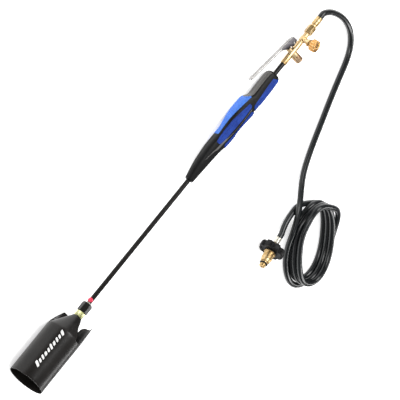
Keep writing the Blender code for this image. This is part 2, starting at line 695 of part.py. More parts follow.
# ---------------------------------------------------------------- hose
def smooth_route(spots, spacing):
    """Points every so far along a smooth line through hand-placed spots."""
    ends = [2 * spots[0] - spots[1]] + spots + [2 * spots[-1] - spots[-2]]
    fine = []
    for k in range(1, len(ends) - 2):
        before, start, stop, after = ends[k - 1:k + 3]
        for step in range(20):
            t = step / 20
            fine.append(0.5 * (2 * start + (stop - before) * t
                               + (2 * before - 5 * start + 4 * stop - after) * t * t
                               + (3 * start - before - 3 * stop + after) * t * t * t))
    fine.append(spots[-1])
    kept = [fine[0]]
    travelled = 0.0
    for near, far in zip(fine, fine[1:]):
        travelled += (far - near).length
        if travelled >= spacing:
            kept.append(far)
            travelled = 0.0
    if (kept[-1] - fine[-1]).length < spacing / 2:
        kept.pop()
    kept.append(fine[-1])
    return kept


def hose_piece(name, spots):
    """Free length of hose drawn as a round tube."""
    points = smooth_route([Vector(spot) * MM for spot in spots], 12 * MM)
    line = bpy.data.curves.new(name, "CURVE")
    line.dimensions = "3D"
    run = line.splines.new("POLY")
    run.points.add(len(points) - 1)
    for slot, point in zip(run.points, points):
        slot.co = (*point, 1)
    line.bevel_depth = HOSE_RADIUS
    line.bevel_resolution = 2
    line.use_fill_caps = True
    piece(name, line, "hose_rubber")


def torch_end(station):
    """World place of a point on the torch axis, in millimetres."""
    return ((MOUTH[0] - station * MM * math.cos(REST_PITCH)) / MM, 0.0,
            (MOUTH[2] - station * MM * math.sin(REST_PITCH)) / MM)


def pol_spot(distance):
    """World place of a point on the tank fitting axis, in millimetres."""
    flat = math.cos(POL_RISE) * distance
    return (POL_CENTRE[0] / MM + flat * math.cos(POL_HEADING), POL_CENTRE[1] / MM + flat * math.sin(POL_HEADING),
            POL_CENTRE[2] / MM + math.sin(POL_RISE) * distance)


LEAD_SPOTS = (
    torch_end(931.8), torch_end(945), (-492, 12, 13.4), (-504, 34, 11.6), (-514, 61, 9.4), (-519, 92, 7.4), (-517, 123, 6.5),
    (-505, 150, 6.4), (-482, 173, 6.4), (-447, 194, 6.4), (-407, 219, 6.4), (-367, 246, 6.4),
    (-325, 274, 6.4), (-287, 304, 6.6), (-263, 327, 9.8), (-245, 344, 15.2), (-232, 357, 18.8),
    (-220, 370, 19.6), (-211, 382, 18.8),
)
TAIL_SPOTS = (
    pol_spot(-29.8), pol_spot(-42), (-180, 371, 12.6), (-187, 369.5, 9.6), (-203, 368, 6.9), (-222, 366.5, 6.4),
    (-238, 366, 6.4), (-250, 370, 6.4), (-259.5, 379, 6.4),
)
hose_piece("hose_lead", LEAD_SPOTS)
hose_piece("hose_tail", TAIL_SPOTS)


def hose_coil():
    """Ring standing for the stacked turns, wider where the last turn lies outside them."""
    chamfer = 3 * MM
    wall = 2 * HOSE_RADIUS
    outline = []
    for rise, grow in ((0, -chamfer), (chamfer, 0), (COIL_HEIGHT - chamfer, 0), (COIL_HEIGHT, -chamfer)):
        outline.append((HOSE_RADIUS + grow, rise))
    for rise, grow in ((COIL_HEIGHT, chamfer), (COIL_HEIGHT - chamfer, 0), (chamfer, 0), (0, chamfer)):
        outline.append((HOSE_RADIUS - wall + grow, rise))
    rings = []
    for index, (inset, rise) in enumerate(outline):
        ring = []
        for k in range(36):
            angle = math.tau * k / 36
            away = abs(math.remainder(angle - OUTER_TURN_MIDDLE, math.tau)) / OUTER_TURN_SPREAD
            widening = min(1.0, 0.8 * (1 + math.cos(math.pi * min(1.0, away))))
            offset = inset + (OUTER_TURN * widening if index < 4 else 0.0)
            power = 2.0 / COIL_SQUARENESS
            x = math.copysign(abs(math.cos(angle)) ** power, math.cos(angle)) * (COIL_LONG + offset)
            y = math.copysign(abs(math.sin(angle)) ** power, math.sin(angle)) * (COIL_SHORT + offset)
            ring.append(Vector((COIL_CENTRE[0] + x * math.cos(COIL_TURN) - y * math.sin(COIL_TURN),
                                COIL_CENTRE[1] + x * math.sin(COIL_TURN) + y * math.cos(COIL_TURN),
                                rise + 0.1 * MM)))
        rings.append(ring)
    piece("hose_coil", loft_mesh("hose_coil", rings, closed=True), "hose_rubber")


hose_coil()
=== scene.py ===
"""Looks for the propane torch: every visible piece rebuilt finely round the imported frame."""
import math

import bmesh
import bpy
from mathutils import Euler, Matrix, Vector


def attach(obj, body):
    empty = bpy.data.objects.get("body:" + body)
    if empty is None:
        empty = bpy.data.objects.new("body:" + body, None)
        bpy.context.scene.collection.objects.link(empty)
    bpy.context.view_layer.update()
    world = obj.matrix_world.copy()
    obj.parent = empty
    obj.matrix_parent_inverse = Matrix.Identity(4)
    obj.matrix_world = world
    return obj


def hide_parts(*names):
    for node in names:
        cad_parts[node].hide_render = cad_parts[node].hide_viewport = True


MM = 0.001
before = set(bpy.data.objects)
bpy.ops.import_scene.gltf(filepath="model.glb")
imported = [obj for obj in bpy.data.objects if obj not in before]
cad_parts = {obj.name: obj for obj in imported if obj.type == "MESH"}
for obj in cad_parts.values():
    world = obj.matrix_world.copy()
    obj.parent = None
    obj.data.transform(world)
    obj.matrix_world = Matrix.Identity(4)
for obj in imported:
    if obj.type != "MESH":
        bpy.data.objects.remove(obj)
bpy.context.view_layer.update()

# the same driving places as the CAD
MOUTH = Vector((464.83 * MM, 0.0, 42.52 * MM))
REST_ROLL = math.radians(117.0)
REST_PITCH = math.radians(1.7)
VALVE_STATION = 841.5 * MM
PIVOT_STATION = 856.5 * MM
PIVOT_HEIGHT = 12.5 * MM
NEEDLE_STATION = 876 * MM
NEEDLE_ANGLE = math.radians(124.0)
POL_CENTRE = Vector((-128.5 * MM, 369.5 * MM, 27.0 * MM))
POL_RISE = math.radians(12.7)
POL_HEADING = math.radians(-4.6)

TORCH = Matrix.Translation(MOUTH) @ Euler((REST_ROLL, -REST_PITCH, 0.0)).to_matrix().to_4x4()
ALONG = TORCH @ Matrix.Rotation(math.pi / 2, 4, "Y")
PLUNGER = TORCH @ Matrix.Translation((-VALVE_STATION, 0, 0))
PIVOT = TORCH @ Matrix.Translation((-PIVOT_STATION, 0, PIVOT_HEIGHT)) @ Matrix.Rotation(math.pi / 2, 4, "X")
NEEDLE = TORCH @ Matrix.Translation((-NEEDLE_STATION, 0, 0)) @ Matrix.Rotation(-NEEDLE_ANGLE, 4, "X")
POL = Matrix.Translation(POL_CENTRE) @ Euler((0, math.pi / 2 - POL_RISE, POL_HEADING)).to_matrix().to_4x4()

scene = bpy.context.scene


# ---------------------------------------------------------------- camera
# fitted to the reference photo's view
CAMERA_DISTANCE = 10.6667
CAMERA_AIM = Vector((-0.0274, 0.0175, 0.0659))
CAMERA_AZIMUTH = math.radians(18.18)
CAMERA_ELEVATION = math.radians(34.01)
CAMERA_ROLL = math.radians(120.0)

lens = bpy.data.cameras.new("camera")
lens.lens = 500
lens.sensor_width = 36
lens.clip_start = 0.5
lens.clip_end = 60
camera = bpy.data.objects.new("camera", lens)
scene.collection.objects.link(camera)
turn = (Matrix.Rotation(CAMERA_AZIMUTH, 4, "Z") @ Matrix.Rotation(math.pi / 2 - CAMERA_ELEVATION, 4, "X")
        @ Matrix.Rotation(CAMERA_ROLL, 4, "Z"))
camera.matrix_world = Matrix.Translation(CAMERA_AIM) @ turn @ Matrix.Translation((0, 0, CAMERA_DISTANCE))
scene.camera = camera
scene.view_settings.view_transform = "Standard"
scene.view_settings.look = "None"


# ---------------------------------------------------------------- materials
class Nodes:
    """Small helper that adds and links shader nodes."""

    def __init__(self, name):
        self.material = bpy.data.materials.new(name)
        self.material.use_nodes = True
        self.tree = self.material.node_tree
        self.shader = self.tree.nodes["Principled BSDF"]
        self.place = self.tree.nodes.new("ShaderNodeTexCoord").outputs["Object"]

    def add(self, kind, **values):
        node = self.tree.nodes.new(kind)
        for key, value in values.items():
            setattr(node, key, value)
        return node

    def link(self, output, socket):
        self.tree.links.new(output, socket)

    def noise(self, scale, detail=3.0, rough=0.55):
        node = self.add("ShaderNodeTexNoise")
        node.inputs["Scale"].default_value = scale
        node.inputs["Detail"].default_value = detail
        node.inputs["Roughness"].default_value = rough
        self.link(self.place, node.inputs["Vector"])
        return node.outputs["Fac"]

    def ramp(self, value, stops):
        node = self.add("ShaderNodeValToRGB")
        elements = node.color_ramp.elements
        while len(elements) < len(stops):
            elements.new(0.5)
        for element, (position, colour) in zip(elements, stops):
            element.position = position
            element.color = (*colour, 1.0) if hasattr(colour, "__len__") else (colour, colour, colour, 1.0)
        self.link(value, node.inputs["Fac"])
        return node.outputs["Color"]

    def maths(self, operation, a, b):
        node = self.add("ShaderNodeMath", operation=operation)
        for socket, value in zip(node.inputs, (a, b)):
            if isinstance(value, (int, float)):
                socket.default_value = value
            else:
                self.link(value, socket)
        return node.outputs["Value"]

    def shares(self, a, share_a, b, share_b):
        """Sum of two values, each times its share."""
        return self.maths("ADD", self.maths("MULTIPLY", a, share_a), self.maths("MULTIPLY", b, share_b))

    def mix(self, factor, a, b):
        node = self.add("ShaderNodeMix", data_type="RGBA")
        for socket, value in ((node.inputs["Factor"], factor), (node.inputs["A"], a), (node.inputs["B"], b)):
            if isinstance(value, (int, float)):
                socket.default_value = value
            elif isinstance(value, tuple):
                socket.default_value = (*value, 1.0)
            else:
                self.link(value, socket)
        return node.outputs["Result"]

    def worn_edges(self, low, high):
        """1 on convex edges, 0 elsewhere."""
        geometry = self.add("ShaderNodeNewGeometry")
        return self.ramp(geometry.outputs["Pointiness"], [(low, 0.0), (high, 1.0)])

    def colour(self, value):
        self.link(value, self.shader.inputs["Base Color"])

    def roughness(self, value, low, high):
        node = self.add("ShaderNodeMapRange")
        node.inputs["To Min"].default_value = low
        node.inputs["To Max"].default_value = high
        self.link(value, node.inputs["Value"])
        self.link(node.outputs["Result"], self.shader.inputs["Roughness"])

    def bump(self, value, strength, distance):
        node = self.add("ShaderNodeBump")
        node.inputs["Strength"].default_value = strength
        node.inputs["Distance"].default_value = distance
        self.link(value, node.inputs["Height"])
        self.link(node.outputs["Normal"], self.shader.inputs["Normal"])

    def set(self, **values):
        for key, value in values.items():
            self.shader.inputs[key.replace("_", " ").title().replace("Ior", "IOR")].default_value = value


def metal(name, dark, mid, light, low, high):
    """Machined metal: blotchy tone, fine tool marks, brighter edges."""
    n = Nodes(name)
    blotch = n.noise(90, 4, 0.6)
    tone = n.ramp(blotch, [(0.3, dark), (0.52, mid), (0.75, light)])
    n.colour(n.mix(n.worn_edges(0.515, 0.58), tone, light))
    n.set(metallic=1.0)
    marks = n.noise(900, 2, 0.5)
    n.roughness(n.shares(marks, 0.6, blotch, 0.4), low, high)
    n.bump(marks, 0.12, 0.0001)
    return n.material


def black_paint(name, base, sheen_tone, low, high, grain=1400, bump=0.10, specular=0.4):
    """Baked black finish with a faint orange peel and rubbed edges."""
    n = Nodes(name)
    cloud = n.noise(24, 4, 0.6)
    tone = n.ramp(cloud, [(0.35, base), (0.7, sheen_tone)])
    tone = n.mix(n.worn_edges(0.52, 0.60), tone, tuple(c * 2.2 for c in sheen_tone))
    n.colour(tone)
    n.roughness(cloud, low, high)
    n.set(specular_ior_level=specular)
    n.bump(n.noise(grain, 2, 0.5), bump, 0.0002)
    return n.material


def moulded(name, base, light, low, high, grain=2200, bump=0.2, specular=0.5):
    """Moulded plastic or rubber with a fine spark-eroded grain."""
    n = Nodes(name)
    cloud = n.noise(60, 3, 0.6)
    speck = n.noise(grain, 2, 0.6)
    tone = n.ramp(n.shares(cloud, 0.7, speck, 0.3), [(0.35, base), (0.68, light)])
    n.colour(tone)
    n.roughness(speck, low, high)
    n.set(specular_ior_level=specular)
    n.bump(speck, bump, 0.0003)
    return n.material


BRASS = metal("brass_machined", (0.27, 0.165, 0.065), (0.50, 0.345, 0.155), (0.72, 0.56, 0.33), 0.26, 0.44)
BRASS_CAST = metal("brass_cast", (0.27, 0.165, 0.07), (0.49, 0.34, 0.16), (0.70, 0.55, 0.33), 0.30, 0.48)
CAP_BRASS = metal("brass_cap", (0.20, 0.11, 0.06), (0.36, 0.225, 0.13), (0.56, 0.40, 0.25), 0.3, 0.48)
KNOB_BRASS = metal("brass_knob", (0.34, 0.15, 0.04), (0.58, 0.31, 0.10), (0.78, 0.52, 0.24), 0.2, 0.36)
HUB_BRASS = metal("brass_hub", (0.30, 0.30, 0.10), (0.54, 0.54, 0.24), (0.74, 0.75, 0.44), 0.2, 0.42)
ZINC = metal("zinc_plated", (0.20, 0.195, 0.19), (0.34, 0.33, 0.32), (0.50, 0.49, 0.48), 0.26, 0.42)
# dark steel for the lever's ears: painted shade standing for the side flanges in shade
EAR_PAINTED_SHADE = metal("ear_steel_painted_shade", (0.05, 0.048, 0.052), (0.085, 0.08, 0.085), (0.16, 0.15, 0.16), 0.3, 0.45)
SILVER = metal("nickel_ferrule", (0.42, 0.40, 0.34), (0.62, 0.60, 0.52), (0.80, 0.78, 0.70), 0.2, 0.38)
BELL_BLACK = black_paint("bell_black", (0.0048, 0.0040, 0.0034), (0.010, 0.0086, 0.0074), 0.26, 0.40,
    specular=0.30)
TUBE_BLACK = black_paint("tube_black", (0.0040, 0.0036, 0.0032), (0.008, 0.007, 0.006), 0.24, 0.38,
    specular=0.2)
NUT_BLACK = black_paint("nut_black", (0.0045, 0.0042, 0.0036), (0.009, 0.0085, 0.0075), 0.22, 0.36,
    specular=0.3)
HANDLE_BLACK = moulded("handle_black", (0.0040, 0.0040, 0.0042), (0.008, 0.008, 0.0083), 0.34, 0.5,
    specular=0.14)
# lighter grey for the handle's top face and its crease ribs: painted highlight
HANDLE_GREY_PAINTED_HIGHLIGHT = moulded("handle_grey_painted_highlight", (0.066, 0.063, 0.059), (0.112, 0.108, 0.102), 0.36, 0.52)
# lighter blue for the top pad: partly the pad's own blue, partly painted light on the top face
GRIP_BLUE_PAINTED_LIT = moulded("grip_light_blue_painted_lit", (0.045, 0.15, 0.56), (0.072, 0.215, 0.70), 0.45, 0.6, bump=0.3,
    specular=0.2)
WHEEL_BLACK = moulded("handwheel_black", (0.0035, 0.0035, 0.0036), (0.007, 0.007, 0.0072), 0.42, 0.6,
    specular=0.2)
SEAL_BLACK = moulded("seal_black", (0.003, 0.003, 0.003), (0.006, 0.006, 0.006), 0.36, 0.5, specular=0.3)
RED = moulded("red_lacquer", (0.66, 0.030, 0.075), (0.84, 0.065, 0.13), 0.24, 0.38, grain=700, bump=0.1)
MARK_WHITE = moulded("printed_white", (0.70, 0.70, 0.69), (0.88, 0.88, 0.87), 0.4, 0.55)


def studded_rubber():
    """Dark blue rubber with rows of darker studs."""
    n = Nodes("grip_dark_blue")
    cells = n.add("ShaderNodeTexVoronoi")
    cells.inputs["Scale"].default_value = 300
    cells.inputs["Randomness"].default_value = 0.25
    n.link(n.place, cells.inputs["Vector"])
    stud = n.ramp(cells.outputs["Distance"], [(0.28, 1.0), (0.46, 0.0)])
    cloud = n.noise(70, 3, 0.6)
    tone = n.ramp(cloud, [(0.35, (0.008, 0.036, 0.24)), (0.68, (0.015, 0.060, 0.36))])
    n.colour(n.mix(n.maths("MULTIPLY", stud, 0.6), tone, (0.004, 0.012, 0.10)))
    n.roughness(cloud, 0.5, 0.65)
    n.set(specular_ior_level=0.18)
    n.bump(stud, 0.25, 0.0003)
    return n.material


GRIP_DARK = studded_rubber()


def hose_material():
    """Smooth extruded rubber with a faint fine grain."""
    n = Nodes("hose_rubber")
    cloud = n.noise(38, 4, 0.6)
    speck = n.noise(1500, 2, 0.6)
    tone = n.ramp(n.shares(cloud, 0.65, speck, 0.35), [(0.35, (0.0045, 0.0055, 0.0062)), (0.70,
        (0.010, 0.012, 0.0135))])
    n.colour(tone)
    n.roughness(n.shares(cloud, 0.5, speck, 0.5), 0.14, 0.27)
    n.set(specular_ior_level=0.4)
    n.bump(speck, 0.14, 0.0002)
    return n.material


HOSE = hose_material()


# ---------------------------------------------------------------- mesh helpers
def add_object(name, data, body, nodes=(), smooth_angle=35):
    """Finished piece in world space, riding on its body and standing for CAD nodes."""
    made = bpy.data.objects.new(name, data)
    scene.collection.objects.link(made)
    if smooth_angle and isinstance(data, bpy.types.Mesh):
        data.shade_smooth()
        data.set_sharp_from_angle(angle=math.radians(smooth_angle))
    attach(made, body)
    if nodes:
        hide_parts(*nodes)
    return made


def finish_mesh(name, grid, place):
    """Closed mesh with outward faces, moved to its place."""
    bmesh.ops.remove_doubles(grid, verts=grid.verts, dist=0.000002)
    bmesh.ops.recalc_face_normals(grid, faces=grid.faces)
    bmesh.ops.transform(grid, matrix=place, verts=grid.verts)
    data = bpy.data.meshes.new(name)
    grid.to_mesh(data)
    grid.free()
    return data


def polar(reach, angle, height):
    """Point round the local Z axis, from millimetres."""
    return Vector((reach * MM * math.cos(angle), reach * MM * math.sin(angle), height * MM))


def bridge(grid, near, far, closed=False):
    """Faces between two rows of points."""
    count = len(near)
    for k in range(count if closed else count - 1):
        n = (k + 1) % count
        grid.faces.new((near[k], near[n], far[n], far[k]))


def rounded(profile, radius, closed):
    """Outline with each corner replaced by a small round, in millimetres."""
    points = [Vector(p) for p in profile]
    count = len(points)
    result = []
    for k, point in enumerate(points):
        if not closed and k in (0, count - 1):
            result.append(point)
            continue
        back = points[k - 1] - point
        ahead = points[(k + 1) % count] - point
        reach = min(radius, 0.42 * back.length, 0.42 * ahead.length)
        start = point + back.normalized() * reach
        stop = point + ahead.normalized() * reach
        for step in range(4):
            t = step / 3
            result.append(start * (1 - t) ** 2 + point * 2 * t * (1 - t) + stop * t * t)
    return result


def turned(profile, place, radius=0.35, steps=96, loop=True):
    """Mesh turned from a (radius, height) outline in millimetres."""
    outline = rounded(profile, radius, loop)
    grid = bmesh.new()
    rings = []
    for reach, height in outline:
        if reach < 1e-6:
            rings.append([grid.verts.new((0, 0, height * MM))])
            continue
        rings.append([grid.verts.new(polar(reach, math.tau * k / steps, height)) for k in range(steps)])
    pairs = list(zip(rings, rings[1:]))
    if loop:
        pairs.append((rings[-1], rings[0]))
    for near, far in pairs:
        for k in range(steps):
            n = (k + 1) % steps
            corners = [near[k % len(near)], near[n % len(near)], far[n % len(far)], far[k % len(far)]]
            unique = [c for i, c in enumerate(corners) if c not in corners[:i]]
            if len(unique) > 2:
                grid.faces.new(unique)
    return finish_mesh("turned", grid, place)


def lofted(rings, place, closed=False):
    """Mesh through rings of equal count."""
    grid = bmesh.new()
    rows = [[grid.verts.new(point) for point in ring] for ring in rings]
    for near, far in zip(rows, rows[1:]):
        bridge(grid, near, far, closed=True)
    if closed:
        bridge(grid, rows[-1], rows[0], closed=True)
    else:
        grid.faces.new(rows[0])
        grid.faces.new(list(reversed(rows[-1])))
    return finish_mesh("lofted", grid, place)


def soften(made, width, segments=3, angle=30):
    """Rounded edges on a piece."""
    step = made.modifiers.new("soft_edges", "BEVEL")
    step.width = width
    step.segments = segments
    step.limit_method = "ANGLE"
    step.angle_limit = math.radians(angle)
    step.harden_normals = False
    return made


def sheet_piece(name, sheet, outside, wall, edge, body, node, smooth_angle=35):
    """Thin piece from an open mesh; outside(faces) is below 0 when the faces look inward."""
    bmesh.ops.recalc_face_normals(sheet, faces=sheet.faces)
    sheet.faces.ensure_lookup_table()
    if outside(sheet.faces) < 0:
        bmesh.ops.reverse_faces(sheet, faces=sheet.faces)
    bmesh.ops.transform(sheet, matrix=TORCH, verts=sheet.verts)
    data = bpy.data.meshes.new(name)
    sheet.to_mesh(data)
    sheet.free()
    made = add_object(name, data, body, (node,), smooth_angle)
    thickness = made.modifiers.new("wall", "SOLIDIFY")
    thickness.thickness = wall * MM
    thickness.offset = -1.0
    return soften(made, edge * MM, 2, 50)


def paint(made, *materials):
    """Materials in slot order."""
    made.data.materials.clear()
    for material in materials:
        made.data.materials.append(material)
    return made


# ---------------------------------------------------------------- hose
HOSE_RADIUS = 6.1 * MM
COIL_CENTRE = Vector((-216.5, 470.5, 0))
COIL_LONG = 93.0
COIL_SHORT = 48.0
COIL_TURN = math.radians(60.0)
COIL_SQUARENESS = 2.3
FLOOR_LEVEL = 6.3
LEVEL_RISE = 12.35
OUTER_TURN = 12.6
COIL_LEAN = Vector((-0.02, 0.03, 0.0))
COIL_TOP = FLOOR_LEVEL + 3 * LEVEL_RISE
COIL_FIRST = -112.0
COIL_LAST = 1222.0
COIL_STEP = 12.0
LEAD_HUMP = 18.0


def torch_end(station):
    """World place on the torch axis, in millimetres."""
    return (ALONG @ Vector((0, 0, -station * MM))) / MM


def pol_spot(distance):
    """World place on the tank fitting axis, in millimetres."""
    return (POL @ Vector((0, 0, distance * MM))) / MM


# Free run of the hose in millimetres: floor places worked out from the photo by a scratch program,
# then thinned and adjusted by hand.
LEAD_SPOTS = [torch_end(931.8), torch_end(945), (-492, 12, 13.4), (-504, 34, 11.6), (-514, 61, 9.4),
    (-519, 92, 7.4), (-517, 123, 6.5), (-505, 150, 6.4), (-482, 173, 6.4), (-447, 194, 6.4),
    (-407, 219, 6.4), (-367, 246, 6.4), (-325, 274, 6.4), (-287, 304, 6.6), (-263, 327, 9.8),
    (-245, 344, 15.2), (-232, 357, 18.8), (-220, 370, 19.6), (-211, 382, 18.8), ]
TAIL_SPOTS = [(-240, 372, 6.4), (-225, 370.5, 6.4), (-206, 371, 6.9), (-181, 371.5, 12.4), pol_spot(-42),
    pol_spot(-29.2), ]


def ease(value, start, stop):
    """Smooth step from 0 to 1."""
    t = min(1.0, max(0.0, (value - start) / (stop - start)))
    return t * t * (3 - 2 * t)


def coil_spot(degrees, offset, height):
    """Point on the coil's oval, moved out by offset, in millimetres."""
    angle = math.radians(degrees)
    power = 2.0 / COIL_SQUARENESS
    c = math.cos(angle)
    s = math.sin(angle)
    x = math.copysign(abs(c) ** power, c) * COIL_LONG
    y = math.copysign(abs(s) ** power, s) * COIL_SHORT
    normal = Vector((math.copysign(abs(x / COIL_LONG) ** (COIL_SQUARENESS - 1), x) / COIL_LONG,
        math.copysign(abs(y / COIL_SHORT) ** (COIL_SQUARENESS - 1), y) / COIL_SHORT)).normalized()
    spot = Vector((x, y)) + normal * offset
    spot.rotate(Matrix.Rotation(COIL_TURN, 2))
    lean = COIL_LEAN * (height - 0.5 * COIL_TOP)
    return Vector((spot.x, spot.y, height)) + COIL_CENTRE + lean


def coil_route():
    """Turns of hose from the outside lead down to the tail."""
    spots = []
    degrees = COIL_FIRST
    while degrees <= COIL_LAST:
        if degrees < 150:
            hump = LEAD_HUMP - (LEAD_HUMP - FLOOR_LEVEL) * ease(degrees, -122, -78)
            height = hump + (COIL_TOP - FLOOR_LEVEL) * ease(degrees, 36, 150)
            above = max(0.0, height - FLOOR_LEVEL - 2 * LEVEL_RISE)
            offset = math.sqrt(max(0.0, OUTER_TURN ** 2 - above ** 2))
        else:
            dropped = sum(ease(degrees, 188 + 360 * turn, 262 + 360 * turn) for turn in range(3))
            height = COIL_TOP - LEVEL_RISE * dropped
            offset = 9.5 * math.sin(math.pi * ease(degrees, 150, 242)) ** 2
        leave = max(0.0, degrees - 1216.0)
        offset += 0.006 * leave ** 2
        wobble = 0.8 * math.sin(math.radians(degrees * 0.61 + 40))
        spots.append(coil_spot(degrees, offset + wobble, height))
        degrees += COIL_STEP
    return spots


def smooth_route(spots, spacing):
    """Points every so far along a smooth line through spots."""
    spots = [Vector(s) for s in spots]
    ends = [2 * spots[0] - spots[1]] + spots + [2 * spots[-1] - spots[-2]]
    fine = []
    for k in range(1, len(ends) - 2):
        before, start, stop, after = ends[k - 1:k + 3]
        for step in range(12):
            t = step / 12
            fine.append(0.5 * (2 * start + (stop - before) * t + (2 * before - 5 * start + 4 * stop - after)
                * t * t + (3 * start - before - 3 * stop + after) * t * t * t))
    fine.append(spots[-1])
    kept = [fine[0]]
    travelled = 0.0
    for near, far in zip(fine, fine[1:]):
        travelled += (far - near).length
        if travelled >= spacing:
            kept.append(far)
            travelled = 0.0
    if (kept[-1] - fine[-1]).length < spacing / 2:
        kept.pop()
    kept.append(fine[-1])
    return kept


def relaxed(points, passes):
    """Evens out the bends of a route, its straight ends held."""
    for _ in range(passes):
        inner = [(a + 2 * b + c) / 4 for a, b, c in zip(points, points[1:], points[2:])]
        points = points[:3] + inner[2:-2] + points[-3:]
    return points


def build_hose():
    """One unbroken hose from the torch ferrule to the tank ferrule."""
    route = smooth_route(LEAD_SPOTS + coil_route() + TAIL_SPOTS, 5.0)
    route = [point * MM for point in relaxed(route, 6)]
    line = bpy.data.curves.new("hose", "CURVE")
    line.dimensions = "3D"
    run = line.splines.new("POLY")
    run.points.add(len(route) - 1)
    for slot, point in zip(run.points, route):
        slot.co = (*point, 1)
    line.bevel_depth = HOSE_RADIUS
    line.bevel_resolution = 10
    line.use_fill_caps = True
    line.materials.append(HOSE)
    made = add_object("hose", line, "torch", ("hose_lead", "hose_coil", "hose_tail"), None)
    length = sum((b - a).length for a, b in zip(route, route[1:]))
    return made, route, length


hose, hose_route, hose_length = build_hose()
print("hose length", round(hose_length, 4))


# ---------------------------------------------------------------- burner
BELL_RADIUS = 38.25
STRAP_CENTRE = math.radians(47.0)
STRAP_HALF = math.radians(56.5)
REAR_TAB_WIDTH = 18.3
BELL_STRAIGHT = 115.0
WING_LENGTH = 44.0
HUB_START = 161.0
HUB_RADIUS = 9.15


def around(station, radius, angle):
    """Torch-frame point in metres from millimetre sizes."""
    return Vector((-station * MM, radius * MM * math.sin(angle), radius * MM * math.cos(angle)))


def bell_tongue(kind, first, last, rise, across):
    """Point on a tongue of the bell; rise runs 0 to 1 from the barrel's end, across -1 to 1."""
    middle = (first + last) / 2
    half = (last - first) / 2
    if kind == "guard":
        outer = -1 if middle < math.pi else 1
        slant = math.radians(9 if outer < 0 else 39) * rise
        near = middle + outer * half
        far = middle - outer * half
        share = (1 + outer * across) / 2
        angle = far + (near - outer * slant - far) * share
        inner = -outer * across
        corner = max(0.0, (inner - 0.55) / 0.45) if inner > 0 else max(0.0, (-inner - 0.78) / 0.22)
        drop = (13 if inner > 0 else 7) * (1 - math.sqrt(max(0.0, 1 - corner ** 2)))
        radius = BELL_RADIUS - 1.7 * rise ** 2
        return around(BELL_STRAIGHT + rise * (WING_LENGTH - drop), radius, STRAP_CENTRE + angle)
    small = HUB_RADIUS + 0.05
    fold = (math.hypot(rise, 0.06) - 0.06) / (math.hypot(1, 0.06) - 0.06)
    radius = BELL_RADIUS + fold * (small - BELL_RADIUS)
    if kind == "front":
        spread = half + (math.radians(84) - half) * max(0.0, (rise - 0.6) / 0.4) ** 1.5
    else:
        spread = math.asin(min(REAR_TAB_WIDTH / 2 / radius, math.sin(math.radians(84))))
    station = BELL_STRAIGHT + rise * (HUB_START - 0.4 - BELL_STRAIGHT)
    return around(station, radius, STRAP_CENTRE + middle + across * spread)


def build_bell():
    """Thin bell: round barrel, a wide front strap, a narrow rear tab, two wind guards."""
    rear_half = math.asin(REAR_TAB_WIDTH / 2 / BELL_RADIUS)
    guard_start = math.radians(80)
    guard_stop = math.pi - rear_half - math.radians(2)
    sectors = (
        ("front", -STRAP_HALF, STRAP_HALF, 44), ("slot", STRAP_HALF, guard_start, 8),
        ("guard", guard_start, guard_stop, 32), ("slot", guard_stop, math.pi - rear_half, 1),
        ("rear", math.pi - rear_half, math.pi + rear_half, 12),
        ("slot", math.pi + rear_half, math.tau - guard_stop, 1),
        ("guard", math.tau - guard_stop, math.tau - guard_start, 32),
        ("slot", math.tau - guard_start, math.tau - STRAP_HALF, 8),
    )
    angles = []
    for _, first, last, cols in sectors:
        angles += [STRAP_CENTRE + first + (last - first) * k / cols for k in range(cols)]
    sheet = bmesh.new()
    rows = []
    for step in range(25):
        rows.append([sheet.verts.new(around(BELL_STRAIGHT * step / 24, BELL_RADIUS, angle)) for angle in
            angles])
    total = len(angles)
    for near, far in zip(rows, rows[1:]):
        bridge(sheet, near, far, closed=True)
    edge = rows[-1]
    start = 0
    for kind, first, last, cols in sectors:
        previous = [edge[(start + k) % total] for k in range(cols + 1)]
        steps = {"front": 32, "rear": 32, "guard": 20, "slot": 0}[kind]
        for step in range(1, steps + 1):
            row = [sheet.verts.new(bell_tongue(kind, first, last, step / steps, 2 * k / cols - 1))
                   for k in range(cols + 1)]
            bridge(sheet, previous, row)
            previous = row
        start += cols

    def outside(faces):
        return faces[0].normal.dot(faces[0].calc_center_median() * Vector((0, 1, 1)))

    made = sheet_piece("burner_bell_shell", sheet, outside, 1.0, 0.3, "torch", "burner_bell")
    return paint(made, BELL_BLACK)


build_bell()


BAR_HEIGHTS = (10.5, 6.5, 8.0, 6.5, 6.5, 9.5, 6.5, 7.5, 6.5, 9.0)
BAR_START = 27.0
BAR_GAP = 3.0
BAR_LEAN = 0.55
BAR_DIRECTION = math.radians(59)


def build_print():
    """Plain slanted bars printed along the bell, with no lettering."""
    grid = bmesh.new()
    place = BAR_START
    for bar, tall in enumerate(BAR_HEIGHTS):
        long = 5.2 if bar % 3 else 6.4
        rows = []
        for step in range(9):
            rise = step / 8
            across = (rise - 0.35) * tall
            lean = place + BAR_LEAN * across
            shrink = 0.9 * abs(2 * rise - 1) ** 4
            angle = BAR_DIRECTION - across / BELL_RADIUS
            rows.append([grid.verts.new(around(lean + shrink + (long - 2 * shrink) * k / 4, BELL_RADIUS +
                0.12, angle)) for k in range(5)])
        for near, far in zip(rows, rows[1:]):
            bridge(grid, near, far)
        place += long + BAR_GAP
    made = add_object("printed_bars", finish_mesh("printed_bars", grid, TORCH), "torch")
    wall = made.modifiers.new("film", "SOLIDIFY")
    wall.thickness = 0.08 * MM
    return paint(made, MARK_WHITE)


build_print()


